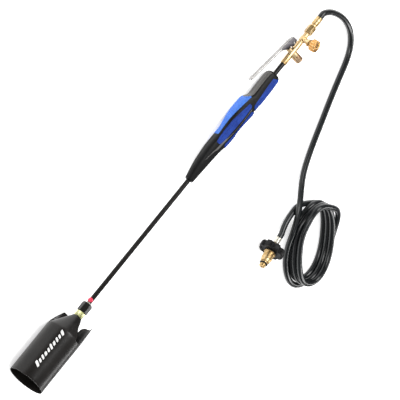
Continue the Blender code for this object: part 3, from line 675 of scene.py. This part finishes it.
def build_hub():
    """Fluted brass hub."""
    ribs = 28
    bore = 3.2

    def ring(station, radius, rib=0.0):
        points = []
        for k in range(8 * ribs):
            angle = math.tau * k / (8 * ribs)
            reach = radius - rib * (0.5 - 0.5 * math.cos(ribs * angle)) ** 1.6
            points.append(around(station, reach, angle))
        return points

    rib = 0.75
    rings = [
        ring(155, bore), ring(155, 7.6), ring(155.2, 7.8), ring(161, 7.8), ring(161, HUB_RADIUS - rib - 0.2),
        ring(161.4, HUB_RADIUS - rib), ring(162, HUB_RADIUS, rib), ring(171.6, HUB_RADIUS, rib),
        ring(172.2, HUB_RADIUS - rib), ring(172.7, HUB_RADIUS - rib - 0.5), ring(172.7, 6.0),
        ring(183, 6.0), ring(183, bore),
    ]
    return paint(add_object("burner_hub_fluted", lofted(rings, TORCH, closed=True), "torch",
        ("burner_hub",)), HUB_BRASS)


build_hub()


def simple_turned(name, profile, place, body, material, nodes, radius=0.3, steps=96, loop=True):
    """Turned piece with its finish."""
    made = add_object(name, turned(profile, place, radius, steps, loop), body, nodes)
    return paint(made, material)


simple_turned("gas_jet_turned", ((0.7, -148), (3.4, -148), (4.6, -150), (4.6, -154.7), (3.0, -154.7),
    (3.0, -165), (0.7, -165)), ALONG, "torch", BRASS, ("gas_jet",), 0.2, 48)
simple_turned("nut_seal_ring_turned", ((5.5, -193.7), (5.5, -195.5), (4.95, -195.8), (4.95, -193.7)), ALONG,
    "torch", SILVER, ("nut_seal_ring",), 0.2)
simple_turned("gas_tube_drawn", ((4.75, -183.3), (4.75, -832.8), (3.5, -832.8), (3.5, -183.3)), ALONG,
    "torch", TUBE_BLACK, ("gas_tube",), 0.2, 64)


def hexagon(name, across, near, far, place, body, material, nodes, bore, chamfer,
            front=0.8, turn_by=0.0, flare=()):
    """Hexagon with turned corners, built as one loft round its bore.

    Every ring has the same count; a ring's reach is the lower of the hexagon's
    and the chamfer cone's.  Flare adds turned rings behind the rear face.
    """
    count = 144
    half = across / 2
    corner = half / math.cos(math.pi / 6)

    def ring(station, limit):
        points = []
        for k in range(count):
            angle = math.tau * k / count
            fold = (angle - turn_by + math.pi / 6) % (math.pi / 3) - math.pi / 6
            reach = min(half / math.cos(fold), limit)
            points.append(polar(reach, angle, -station))
        return points

    rings = [ring(near, bore)]
    for step in range(5):
        t = step / 4
        rings.append(ring(near + front * t * t, half - 0.4 + (corner - half + 0.4) * t))
    for step in range(7):
        t = 1 - step / 6
        rings.append(ring(far - chamfer * t ** 1.6, half - 0.5 + (corner - half + 0.5) * t))
    for station, reach in flare:
        rings.append(ring(station, reach))
    last = flare[-1][0] if flare else far
    rings.append(ring(last, bore))
    made = add_object(name, lofted(rings, place, closed=True), body, nodes, 28)
    return paint(made, material)


hexagon("coupling_nut_hex", 19.0, 173.0, 193.4, ALONG, "torch", NUT_BLACK, ("coupling_nut",),
    5.0, 2.8, flare=((193.4, 6.5),))


def build_dab():
    """Uneven domed dab of red lacquer wrapped on the tube."""
    data_grid = bmesh.new()
    bmesh.ops.create_icosphere(data_grid, subdivisions=5, radius=1.0)
    angle = math.radians(37)
    for v in data_grid.verts:
        lump = 0.05 * math.sin(7 * v.co.x + 1.3) * math.cos(6 * v.co.y)
        lump += 0.04 * math.sin(9 * v.co.y - 2 * v.co.x)
        v.co *= 1 + lump
        v.co.z = math.copysign(abs(v.co.z) ** 0.8, v.co.z)
    place = Matrix.Translation(around(201.7, 3.2, angle)) @ Matrix.Rotation(-angle, 4, "X")
    place = TORCH @ place @ Matrix.Diagonal((0.0055, 0.0052, 0.003, 1))
    made = add_object("red_lacquer_dab", finish_mesh("dab", data_grid, place), "torch",
        ("red_marker_dab",))
    return paint(made, RED)


build_dab()


# ---------------------------------------------------------------- handle
# station, height toward lever, height toward belly, half width, squareness
HANDLE_SECTIONS = (
    (510.5, 8.9, 8.9, 8.9, 2.0), (515.0, 9.6, 9.2, 9.4, 2.1), (527.0, 12.0, 9.0, 10.5, 2.4),
    (549.0, 15.4, 8.9, 12.2, 3.0), (568.0, 16.9, 9.0, 13.0, 3.5), (588.0, 18.0, 9.8, 13.8, 4.0),
    (608.0, 17.6, 12.6, 14.5, 4.0), (622.0, 17.3, 13.4, 14.8, 4.0), (636.0, 17.8, 13.3, 15.0, 4.0),
    (640.0, 18.6, 11.8, 15.1, 4.0), (654.0, 20.6, 11.6, 15.4, 4.0), (674.0, 22.4, 12.8, 15.8, 4.0),
    (692.0, 22.4, 14.0, 16.0, 4.0), (698.0, 22.0, 12.2, 15.9, 4.0), (709.0, 20.8, 12.0, 15.6, 4.0),
    (723.0, 14.4, 13.6, 14.6, 4.0), (745.0, 15.4, 13.6, 14.0, 4.0), (765.0, 15.8, 12.9, 13.7, 4.0),
    (776.0, 15.4, 12.2, 13.3, 3.8), (781.0, 14.2, 11.0, 12.2, 3.4), (783.0, 12.4, 9.4, 10.6, 3.0),
)


def section_at(station):
    """Handle sizes at any station, smoothly between the given sections."""
    rows = HANDLE_SECTIONS
    if station <= rows[0][0]:
        return rows[0][1:]
    if station >= rows[-1][0]:
        return rows[-1][1:]
    k = next(i for i in range(len(rows) - 1) if rows[i][0] <= station <= rows[i + 1][0])
    low, high = rows[k], rows[k + 1]
    span = high[0] - low[0]
    t = (station - low[0]) / span
    before = rows[max(k - 1, 0)]
    after = rows[min(k + 2, len(rows) - 1)]
    values = []
    for column in range(1, 5):
        rise = high[column] - low[column]
        left = (low[column] - before[column]) / max(1e-6, low[0] - before[0]) * span if k else rise
        right = (after[column] - high[column]) / max(1e-6, after[0] - high[0]) * span
        start = 0.0 if left * rise <= 0 else math.copysign(min(abs(left + rise) / 2, 2 * abs(rise)), rise)
        stop = 0.0 if right * rise <= 0 else math.copysign(min(abs(right + rise) / 2, 2 * abs(rise)), rise)
        h = (2 * t ** 3 - 3 * t ** 2 + 1, t ** 3 - 2 * t ** 2 + t, -2 * t ** 3 + 3 * t ** 2, t ** 3 - t ** 2)
        values.append(h[0] * low[column] + h[1] * start + h[2] * high[column] + h[3] * stop)
    return values


def skin(station, degrees, lift=0.0):
    """Point on the handle skin in the torch frame; degrees run from the lever side, plus is left."""
    top, belly, half, square = section_at(station)
    angle = math.radians(degrees)
    power = 2.0 / square
    s, c = math.sin(angle), math.cos(angle)
    height = top if c >= 0 else belly
    across = math.copysign(half * abs(s) ** power, s)
    rise = math.copysign(height * abs(c) ** power, c)
    point = Vector((-station * MM, across * MM, rise * MM))
    if lift:
        point += skin_normal(station, degrees) * lift * MM
    return point


def skin_normal(station, degrees):
    """Outward direction of the handle skin."""
    lengthways = skin(station + 0.6, degrees) - skin(station - 0.6, degrees)
    across = skin(station, degrees + 1.0) - skin(station, degrees - 1.0)
    normal = across.cross(lengthways).normalized()
    middle = Vector((0, math.sin(math.radians(degrees)), math.cos(math.radians(degrees))))
    return normal if normal.dot(middle) > 0 else -normal


def through(station, table):
    """Value at a station from (station, value) pairs, rounded a little at each pair."""
    def straight(at):
        if at <= table[0][0]:
            return table[0][1]
        for (s0, v0), (s1, v1) in zip(table, table[1:]):
            if at <= s1:
                return v0 + (v1 - v0) * (at - s0) / (s1 - s0)
        return table[-1][1]
    return sum(straight(station + shift) for shift in (-6, -3, 0, 3, 6)) / 5


def skin_angle(station, table):
    """Section direction where the skin meets an offset given in the reference photo's view plane."""
    wanted = through(station, table)
    low, high = -40.0, 150.0
    for _ in range(30):
        middle = (low + high) / 2
        point = skin(station, middle) / MM
        if VIEW_SIDE * point.y - VIEW_RISE * point.z < wanted:
            low = middle
        else:
            high = middle
    return (low + high) / 2


# Edges of the pads, as (station, offset).  Offsets are millimetres across the handle in the reference
# photo's view plane; most were read from the photo and scaled, so they are not design dimensions.
# VIEW_SIDE and VIEW_RISE are that plane's direction across the handle.
VIEW_SIDE, VIEW_RISE = 0.469, 0.883
TOP_EDGE = ((612, -11.0), (622, -11.6), (640, -12.6), (657, -12.8), (679, -10.4), (702, -7.4), (712, -6.6))
SIDE_UPPER = ((598, -3.5), (606, -5.6), (615, -6.4), (640, -6.9), (658, -6.4), (680, -3.6), (694, -1.4),
    (703, -0.4))
SIDE_LOWER = ((598, 3.0), (606, 5.4), (615, 6.4), (640, 7.6), (658, 8.1), (680, 7.9), (694, 7.2), (703, 6.8))
RIB_LINE = ((556, 0.4), (580, 2.9), (602, 7.0), (642, 10.9), (671, 10.6), (697, 9.6))
BELLY_EDGE = ((604, 10.4), (620, 12.2), (642, 13.2), (671, 12.6), (696, 11.6))
REAR_EDGE = ((700, 9.0), (712, 8.1), (760, 4.6), (778, 4.2))
TOP_FRONT, TOP_REAR = 615.0, 708.0
SIDE_FRONT, SIDE_REAR = 600.0, 702.0
BELLY_FRONT, BELLY_REAR = 604.0, 696.0
REAR_FRONT, REAR_REAR = 700.0, 778.0


# grey panel behind the lever: the handle's top face painted lighter grey as a painted highlight, in metres
# in the torch frame
LIT_PANEL_FRONT, LIT_PANEL_REAR = 0.7075, 0.779
LIT_PANEL_HEIGHT, LIT_PANEL_HALF = 0.0085, 0.0116


def build_shells():
    """Black moulding of the handle in two halves with a parting line."""
    stations = [510.5]
    while stations[-1] < 783.0:
        stations.append(min(783.0, stations[-1] + 1.5))
    for side, name, node in ((1, "handle_half_left", "handle_shell_left"),
                             (-1, "handle_half_right", "handle_shell_right")):
        rings = []
        gap = 0.12 * MM
        for station in stations:
            ring = []
            for k in range(73):
                point = skin(station, side * 2.5 * k)
                shrink = 0.0
                if station < 512.5:
                    shrink = 0.5 * (1 - (station - 510.5) / 2.0) ** 2
                point.z *= 1 - shrink * 0.12
                point.y = side * max(abs(point.y) * (1 - shrink * 0.12), gap)
                ring.append(point)
            for k in range(18, -1, -1):
                point = around(station, 4.95, side * math.pi * k / 18)
                point.y = side * max(abs(point.y), gap)
                ring.append(point)
            rings.append(ring)
        made = add_object(name, lofted(rings, TORCH), "torch", (node,), 40)
        # the top face behind the lever gets the grey painted highlight
        paint(made, HANDLE_BLACK, HANDLE_GREY_PAINTED_HIGHLIGHT)
        back = TORCH.inverted()
        for face in made.data.polygons:
            spot = back @ face.center
            if -LIT_PANEL_REAR < spot.x < -LIT_PANEL_FRONT and spot.z > LIT_PANEL_HEIGHT and abs(spot.y) < LIT_PANEL_HALF:
                face.material_index = 1


build_shells()


def pad(name, front, rear, low_edge, high_edge, material, nodes, lift, step=1.0, cols=32, relief=None,
        corner=6.0, slant=0.0):
    """Soft pad standing on the handle skin, domed at its edges.

    low_edge and high_edge give the pad's sides in degrees at a station; relief
    returns extra height in millimetres for (station, degrees).  Slant moves the
    rear corners back.
    """
    count = max(4, int((rear - front) / step))
    stations = [front + (rear - front) * k / count for k in range(count + 1)]
    grid = bmesh.new()
    outer = []
    inner = []
    for station in stations:
        near_end = min(station - front, rear - station)
        inset = 0.0
        if near_end < corner:
            inset = 1 - math.sqrt(max(0.0, 1 - (1 - near_end / corner) ** 2))
        a, b = low_edge(station), high_edge(station)
        middle, half = (a + b) / 2, (b - a) / 2
        corner_share = 0.35 if half > 25 else 0.5
        half *= 1 - corner_share * inset
        row_out = []
        row_in = []
        for k in range(cols + 1):
            across = 2 * k / cols - 1
            across = math.copysign(1 - (1 - abs(across)) ** 1.35, across)
            degrees = middle + half * across
            spot = station + slant * across ** 2 * ((station - front) / (rear - front)) ** 8
            p = skin(spot, degrees)
            n = skin_normal(spot, degrees)
            edge_mm = min(near_end, (1 - abs(across)) * half * 0.27)
            dome = math.sqrt(max(0.0, 1 - (1 - min(1.0, edge_mm / 0.9)) ** 2))
            height = lift * (0.25 + 0.75 * dome)
            if relief:
                height += relief(station, degrees) * min(1.0, edge_mm / 1.2)
            row_out.append(grid.verts.new(p + n * height * MM))
            row_in.append(grid.verts.new(p - n * 0.6 * MM))
        outer.append(row_out)
        inner.append(row_in)
    for i in range(count):
        for k in range(cols):
            grid.faces.new((outer[i][k], outer[i][k + 1], outer[i + 1][k + 1], outer[i + 1][k]))
            grid.faces.new((inner[i][k], inner[i + 1][k], inner[i + 1][k + 1], inner[i][k + 1]))
        for k in (0, cols):
            grid.faces.new((outer[i][k], outer[i + 1][k], inner[i + 1][k], inner[i][k]))
    for i in (0, count):
        for k in range(cols):
            grid.faces.new((outer[i][k], outer[i][k + 1], inner[i][k + 1], inner[i][k]))
    made = add_object(name, finish_mesh(name, grid, TORCH), "torch", nodes, 50)
    return paint(made, material)


def dots(station, degrees):
    """Rows of small round studs."""
    pitch = 3.0
    along = station / pitch
    across = degrees * 0.27 / pitch
    row = math.floor(across)
    u = along + 0.5 * (row % 2) - math.floor(along + 0.5 * (row % 2)) - 0.5
    v = across - row - 0.5
    away = math.hypot(u, v) * 2
    return 0.55 * math.sqrt(max(0.0, 1 - (away / 0.62) ** 2)) if away < 0.62 else 0.0


def ribs(station, degrees):
    """Cross ribs of the finger grip."""
    return 0.55 * (0.5 + 0.5 * math.cos(math.tau * station / 4.6)) ** 0.7


# the top pad's lighter blue is partly painted light on the top face
pad("top_grip_soft", TOP_FRONT, TOP_REAR, lambda s: -skin_angle(s, TOP_EDGE), lambda s:
    skin_angle(s, TOP_EDGE), GRIP_BLUE_PAINTED_LIT, ("top_grip_pad",), 1.0, 1.0, 48, corner=2.0,
    slant=7.0)
for label, sign in (("left", 1), ("right", -1)):
    upper = (lambda s: skin_angle(s, SIDE_UPPER)) if sign > 0 else (lambda s: -skin_angle(s, SIDE_LOWER))
    lower = (lambda s: skin_angle(s, SIDE_LOWER)) if sign > 0 else (lambda s: -skin_angle(s, SIDE_UPPER))
    pad("side_grip_soft_" + label, SIDE_FRONT, SIDE_REAR, upper, lower, GRIP_DARK,
        ("side_grip_pad_" + label,), 0.9, 0.5, 40, dots, 4.0)
    above = (lambda s: skin_angle(s, RIB_LINE) - 1.1) if sign > 0 else (lambda s: -skin_angle(s, RIB_LINE) -
        1.1)
    below = (lambda s: skin_angle(s, RIB_LINE) + 1.1) if sign > 0 else (lambda s: -skin_angle(s, RIB_LINE) +
        1.1)
    # the ribs carry the grey painted highlight along the handle's crease
    pad("handle_rib_" + label, 558.0, 697.0, above, below, HANDLE_GREY_PAINTED_HIGHLIGHT, (), 0.45, 1.5, 6)
pad("belly_grip_soft", BELLY_FRONT, BELLY_REAR, lambda s: skin_angle(s, BELLY_EDGE), lambda s: 360 -
    skin_angle(s, BELLY_EDGE), GRIP_DARK, ("belly_grip_pad",), 0.7, 0.5, 64, ribs)
pad("rear_grip_soft", REAR_FRONT, REAR_REAR, lambda s: skin_angle(s, REAR_EDGE),
    lambda s: 360 - skin_angle(s, REAR_EDGE), GRIP_DARK, ("rear_grip_pad",), 0.9, 1.0, 64)


# ---------------------------------------------------------------- squeeze valve
simple_turned("tube_sleeve_turned", ((5.6, -812), (6.1, -812.5), (6.1, -833.2), (4.9, -833.2), (4.9, -812)),
    ALONG, "torch", BRASS, ("tube_sleeve",), 0.3)


def finish_brass(node, material, angle=32, width=0.25):
    """CAD node kept, its edges softened and given its finish."""
    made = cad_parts[node]
    paint(made, material)
    soften(made, width * MM, 2, angle)
    return made


finish_brass("valve_body", BRASS_CAST)
finish_brass("needle_body", BRASS_CAST)
finish_brass("needle_bonnet", BRASS)

simple_turned("spring_cap_turned", ((0, -22.2), (6.0, -22.2), (6.0, -10.3), (7.6, -10.3), (8.25, -11.0),
    (8.25, -20.6), (7.7, -21.0), (7.7, -21.8), (8.25, -22.2), (8.25, -23.5), (7.5, -24.2), (4.4, -24.2),
    (4.2, -23.4), (0, -23.4)), PLUNGER, "torch", CAP_BRASS, ("spring_cap",), 0.3, 96, loop=False)
simple_turned("valve_plunger_turned", ((0, 21.9), (1.6, 21.8), (3.0, 21.1), (3.0, 13.5), (1.4, 13.5),
    (1.4, -1.7), (3.4, -2.0), (3.4, -4.0), (0, -4.0)), PLUNGER, "plunger", ZINC,
    ("valve_plunger",), 0.25, 64, loop=False)
simple_turned("lever_pin_riveted", ((0, 6.2), (1.3, 6.1), (2.5, 5.3), (2.5, 4.9), (1.5, 4.9), (1.5, -4.9),
    (2.5, -4.9), (2.5, -5.3), (1.3, -6.1), (0, -6.2)), PIVOT, "torch", ZINC, ("lever_pin",),
    0.3, 48, loop=False)


# the lever's ears painted darker: painted shade on the side flanges, in metres in the torch frame
SHADED_EAR_FRONT, SHADED_EAR_INSIDE = 0.828, 0.004


def build_lever():
    """Pressed steel channel with rolled edges and two ears."""
    half = 4.75
    rows = (
        (739, 3.2), (740, 3.4), (742, 3.6), (785, 3.6), (822, 3.8), (830, 4.4), (835, 9.0), (846, 9.9),
        (849.5, 13.6), (853, 14.1), (860, 12.6), (864.5, 9.5),
    )
    fine = []
    for (s0, d0), (s1, d1) in zip(rows, rows[1:]):
        steps = max(1, int((s1 - s0) / 1.5))
        fine += [(s0 + (s1 - s0) * k / steps, d0 + (d1 - d0) * k / steps) for k in range(steps)]
    fine.append(rows[-1])
    sheet = bmesh.new()
    previous = None
    for station, depth in fine:
        top = 35.8 - 0.1248 * (station - 743)
        narrow = 0.0
        if station < 743:
            narrow = 2.2 * (1 - math.sqrt(max(0.0, 1 - ((743 - station) / 4.0) ** 2)))
        outline = [(half - narrow, top - depth), (half - narrow, top - depth * 0.6),
            (half - narrow, top - 1.4)]
        for k in range(1, 5):
            angle = math.pi / 2 * k / 5
            outline.append((half - narrow - 1.4 + 1.4 * math.cos(angle), top - 1.4 + 1.4 * math.sin(angle)))
        outline += [(half - narrow - 1.4, top), ((half - narrow) * 0.3, top)]
        line = [(y, z) for y, z in outline] + [(0.0, top)] + [(-y, z) for y, z in reversed(outline)]
        row = [sheet.verts.new(Vector((-station, y, z)) * MM) for y, z in line]
        if previous:
            bridge(sheet, previous, row)
        previous = row

    def outside(faces):
        return max(faces, key=lambda face: face.calc_center_median().z).normal.z

    made = sheet_piece("squeeze_lever_pressed", sheet, outside, 1.2, 0.25, "lever",
        "squeeze_lever", 40)
    # the ears take the dark steel: painted shade on the side flanges
    paint(made, ZINC, EAR_PAINTED_SHADE)
    back = TORCH.inverted()
    for face in made.data.polygons:
        spot = back @ face.center
        if spot.x < -SHADED_EAR_FRONT and abs(spot.y) > SHADED_EAR_INSIDE:
            face.material_index = 1


build_lever()


# ---------------------------------------------------------------- needle valve
def lobed_ring(radius, depth, lobes, count, height, sharp=1.0):
    """Ring with rounded lobes; sharp above 1 narrows the valleys."""
    ring = []
    for k in range(count):
        angle = math.tau * k / count
        valley = (0.5 - 0.5 * math.cos(lobes * angle)) ** sharp
        reach = radius - depth * valley
        ring.append(polar(reach, angle, height))
    return ring


SIDE_PLUG = TORCH @ Matrix.Translation((-877 * MM, 0, 0)) @ Matrix.Rotation(-math.radians(84), 4, "X")
simple_turned("needle_side_plug", ((0, 8.6), (1.5, 8.6), (2.0, 8.1), (3.2, 8.1), (3.8, 8.9), (5.1, 8.9),
    (5.4, 8.5), (5.4, 3.0), (0, 3.0)), SIDE_PLUG, "torch", BRASS_CAST, (), 0.3, 64, loop=False)


def build_knob():
    """Cast brass knob with scallops, a dished top and a raised collar."""
    rings = []
    count = 240
    for height, radius, depth in ((22.6, 9.4, 0.3), (22.7, 10.9, 0.8), (23.0, 11.7, 1.2), (23.7, 12.3, 1.5),
                                  (24.6, 12.5, 1.7), (33.4, 12.5, 1.7), (34.3, 12.2, 1.5), (35.0, 11.5, 1.2),
                                  (35.35, 10.6, 0.8), (35.4, 9.8, 0.3), (35.0, 9.0, 0.0), (34.8, 6.0, 0.0),
                                  (35.0, 4.6, 0.0), (35.4, 4.2, 0.0), (35.5, 3.6, 0.0), (35.5, 2.1, 0.0),
                                  (22.6, 2.1, 0.0)):
        rings.append(lobed_ring(radius, depth, 12, count, height, 1.8))
    made = add_object("needle_knob_cast", lofted(rings, NEEDLE, closed=True), "needle_wheel",
        ("needle_knob",), 40)
    return paint(made, KNOB_BRASS)


build_knob()
simple_turned("knob_screw_turned", ((0, 37.3), (2.2, 37.2), (3.6, 36.5), (3.6, 35.6), (0, 35.6)), NEEDLE,
    "needle_wheel", BRASS, ("knob_screw",), 0.3, 48, loop=False)
paint(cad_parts["needle_stem"], ZINC)
for node in ("needle_packing", "plunger_seal"):
    paint(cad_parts[node], SEAL_BLACK)
paint(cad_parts["valve_spring"], ZINC)
for number in (1, 2, 3):
    paint(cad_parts["handle_screw_%d" % number], NUT_BLACK)

# ---------------------------------------------------------------- hose end
hexagon("hose_nut_hex", 15.0, 891.0, 909.0, ALONG, "torch", BRASS, ("hose_nut",), 5.2, 1.8,
        turn_by=math.radians(11), flare=((909.0, 6.0), (909.3, 5.6), (913.0, 5.6), (913.4, 5.3)))
simple_turned("hose_barb_turned", ((4.9, -897.3), (4.9, -899.9), (3.4, -899.9), (3.4, -929), (1.8, -929),
    (1.8, -897.3)), ALONG, "torch", BRASS, ("hose_barb",), 0.2, 48)
simple_turned("hose_ferrule_crimped", ((6.2, -913.8), (7.0, -914.6), (7.0, -917.0), (6.65, -918.0),
    (6.65, -920.4), (7.0, -921.4), (7.0, -924.0), (6.65, -925.0), (6.65, -927.2), (7.0, -928.2),
    (7.0, -930.4), (6.6, -931), (3.6, -931), (3.6, -913.8)), ALONG, "torch", BRASS,
    ("hose_ferrule",), 0.4)


# ---------------------------------------------------------------- tank fitting
def build_handwheel():
    """Moulded lobed wheel with finger scallops and a dished face."""
    rings = []
    count = 256
    for height, radius, depth in ((-7.0, 11.0, 0.0), (-7.0, 22.5, 2.2), (-6.5, 25.0, 3.8), (-5.4, 26.2, 4.6),
                                  (-4.4, 26.6, 4.8), (4.4, 26.6, 4.8), (5.4, 26.1, 4.6), (6.5, 24.8, 3.8),
                                  (7.0, 22.8, 2.4), (6.2, 20.6, 0.8), (5.4, 18.8, 0.0), (5.2, 14.6, 0.0),
                                  (5.6, 13.6, 0.0), (7.0, 13.2, 0.0), (7.0, 8.3, 0.0), (-7.0, 8.3, 0.0)):
        ring = []
        for k in range(count):
            angle = math.tau * k / count
            wave = 0.5 - 0.5 * math.cos(8 * angle)
            valley = ease(wave, 0.45, 0.92)
            reach = radius - depth * valley
            ring.append(polar(reach, angle, height))
        rings.append(ring)
    made = add_object("tank_handwheel_moulded", lofted(rings, POL, closed=True), "tank_wheel",
        ("tank_handwheel",), 40)
    return paint(made, WHEEL_BLACK)


build_handwheel()


def threaded(name, outline, thread_low, thread_high, pitch, depth, place, body, material, nodes):
    """Turned piece with ring grooves standing for a thread on one stretch."""
    profile = []
    for (r0, h0), (r1, h1) in zip(outline, outline[1:] + outline[:1]):
        profile.append((r0, h0))
        if abs(r0 - r1) < 1e-6 and h0 >= thread_high and h1 <= thread_low:
            turns = int((thread_high - thread_low) / pitch)
            for k in range(turns):
                base = thread_high - k * pitch
                profile += [(r0, base), (r0 - depth, base - pitch * 0.45), (r0 - depth, base - pitch * 0.6)]
            profile.append((r0, thread_high - turns * pitch))
    return simple_turned(name, tuple(profile), place, body, material, nodes, 0.18)


threaded("tank_nut_threaded", ((8.6, 31.5), (9.4, 30.8), (10.2, 25.0), (11.15, 23.4), (11.15, 10.6),
    (12.4, 10.2), (12.4, 7.3), (8.0, 7.3), (8.0, -6.5), (4.6, -6.5), (4.6, 31.5)), 11.6, 22.4, 1.8, 0.75,
    POL, "tank_wheel", BRASS, ("tank_nut",))
simple_turned("tank_nipple_turned", ((5.0, 44.0), (6.2, 42.8), (6.5, 41.5), (6.5, 37.3), (5.7, 36.8),
    (5.7, 34.2), (7.4, 33.8), (7.4, 31.8), (4.4, 31.8), (4.4, -8.0), (5.8, -8.0), (5.8, -14.6),
    (3.4, -14.6), (3.4, -27.5), (1.8, -27.5), (1.8, 44.0)), POL, "torch", BRASS, ("tank_nipple",),
    0.3)
simple_turned("tank_o_ring_moulded", ((8.0, 36.7), (8.8, 36.2), (8.9, 35.5), (8.8, 34.8), (8.0, 34.3),
    (6.4, 34.3), (5.9, 35.0), (5.9, 36.0), (6.4, 36.7)), POL, "torch", SEAL_BLACK,
    ("tank_o_ring",), 0.4)
simple_turned("tank_ferrule_crimped", ((5.9, -14.9), (6.5, -15.6), (6.5, -18.0), (6.15, -19.0),
    (6.15, -21.0), (6.5, -22.0), (6.5, -24.0), (6.15, -25.0), (6.15, -26.6), (6.5, -27.4), (6.5, -28.6),
    (6.1, -29.0), (3.6, -29.0), (3.6, -14.9)), POL, "torch", SILVER, ("tank_ferrule",), 0.4)


# ---------------------------------------------------------------- floor and light
FLOOR_GLOW = 0.62
LIGHT_AIM = (-0.05, 0.15, 0)


def build_floor():
    """Plain pale floor."""
    grid = bmesh.new()
    bmesh.ops.create_grid(grid, x_segments=1, y_segments=1, size=8.0)
    data = bpy.data.meshes.new("floor")
    grid.to_mesh(data)
    grid.free()
    made = bpy.data.objects.new("floor", data)
    scene.collection.objects.link(made)
    n = Nodes("floor_pale")
    n.colour(n.ramp(n.noise(2, 2), [(0.3, (0.93, 0.93, 0.93)), (0.7, (0.95, 0.95, 0.95))]))
    n.set(roughness=0.9)
    n.set(specular_ior_level=0.1)
    n.set(emission_color=(1, 1, 1, 1), emission_strength=FLOOR_GLOW)
    data.materials.append(n.material)


build_floor()


def soft_light(name, place, size, power):
    """Large rectangular studio light."""
    data = bpy.data.lights.new(name, "AREA")
    data.shape = "RECTANGLE"
    data.size, data.size_y = size
    data.energy = power
    made = bpy.data.objects.new(name, data)
    scene.collection.objects.link(made)
    made.location = place
    made.rotation_euler = (Vector(LIGHT_AIM) - Vector(place)).to_track_quat("-Z", "Y").to_euler()


soft_light("key_light", (-1.9, -1.2, 2.6), (2.0, 2.0), 100)
soft_light("side_light", (2.3, -0.6, 1.7), (0.9, 2.4), 38)
soft_light("back_light", (-0.4, 2.7, 1.9), (2.4, 0.7), 42)


def studio_world():
    """Soft room: dim at the horizon, bright overhead, with a pale backdrop."""
    world = bpy.data.worlds.new("studio")
    world.use_nodes = True
    tree = world.node_tree
    place = tree.nodes.new("ShaderNodeTexCoord")
    split = tree.nodes.new("ShaderNodeSeparateXYZ")
    fade = tree.nodes.new("ShaderNodeValToRGB")
    fade.color_ramp.elements[0].position = 0.05
    fade.color_ramp.elements[0].color = (0.16, 0.16, 0.165, 1)
    fade.color_ramp.elements[1].position = 0.85
    fade.color_ramp.elements[1].color = (0.85, 0.85, 0.85, 1)
    tree.links.new(place.outputs["Generated"], split.inputs["Vector"])
    tree.links.new(split.outputs["Z"], fade.inputs["Fac"])
    room = tree.nodes["Background"]
    tree.links.new(fade.outputs["Color"], room.inputs["Color"])
    room.inputs["Strength"].default_value = 0.5
    backdrop = tree.nodes.new("ShaderNodeBackground")
    backdrop.inputs["Color"].default_value = (0.97, 0.97, 0.97, 1)
    ray = tree.nodes.new("ShaderNodeLightPath")
    blend = tree.nodes.new("ShaderNodeMixShader")
    tree.links.new(ray.outputs["Is Camera Ray"], blend.inputs[0])
    tree.links.new(room.outputs["Background"], blend.inputs[1])
    tree.links.new(backdrop.outputs["Background"], blend.inputs[2])
    tree.links.new(blend.outputs["Shader"], tree.nodes["World Output"].inputs["Surface"])
    scene.world = world


studio_world()

bpy.context.view_layer.update()
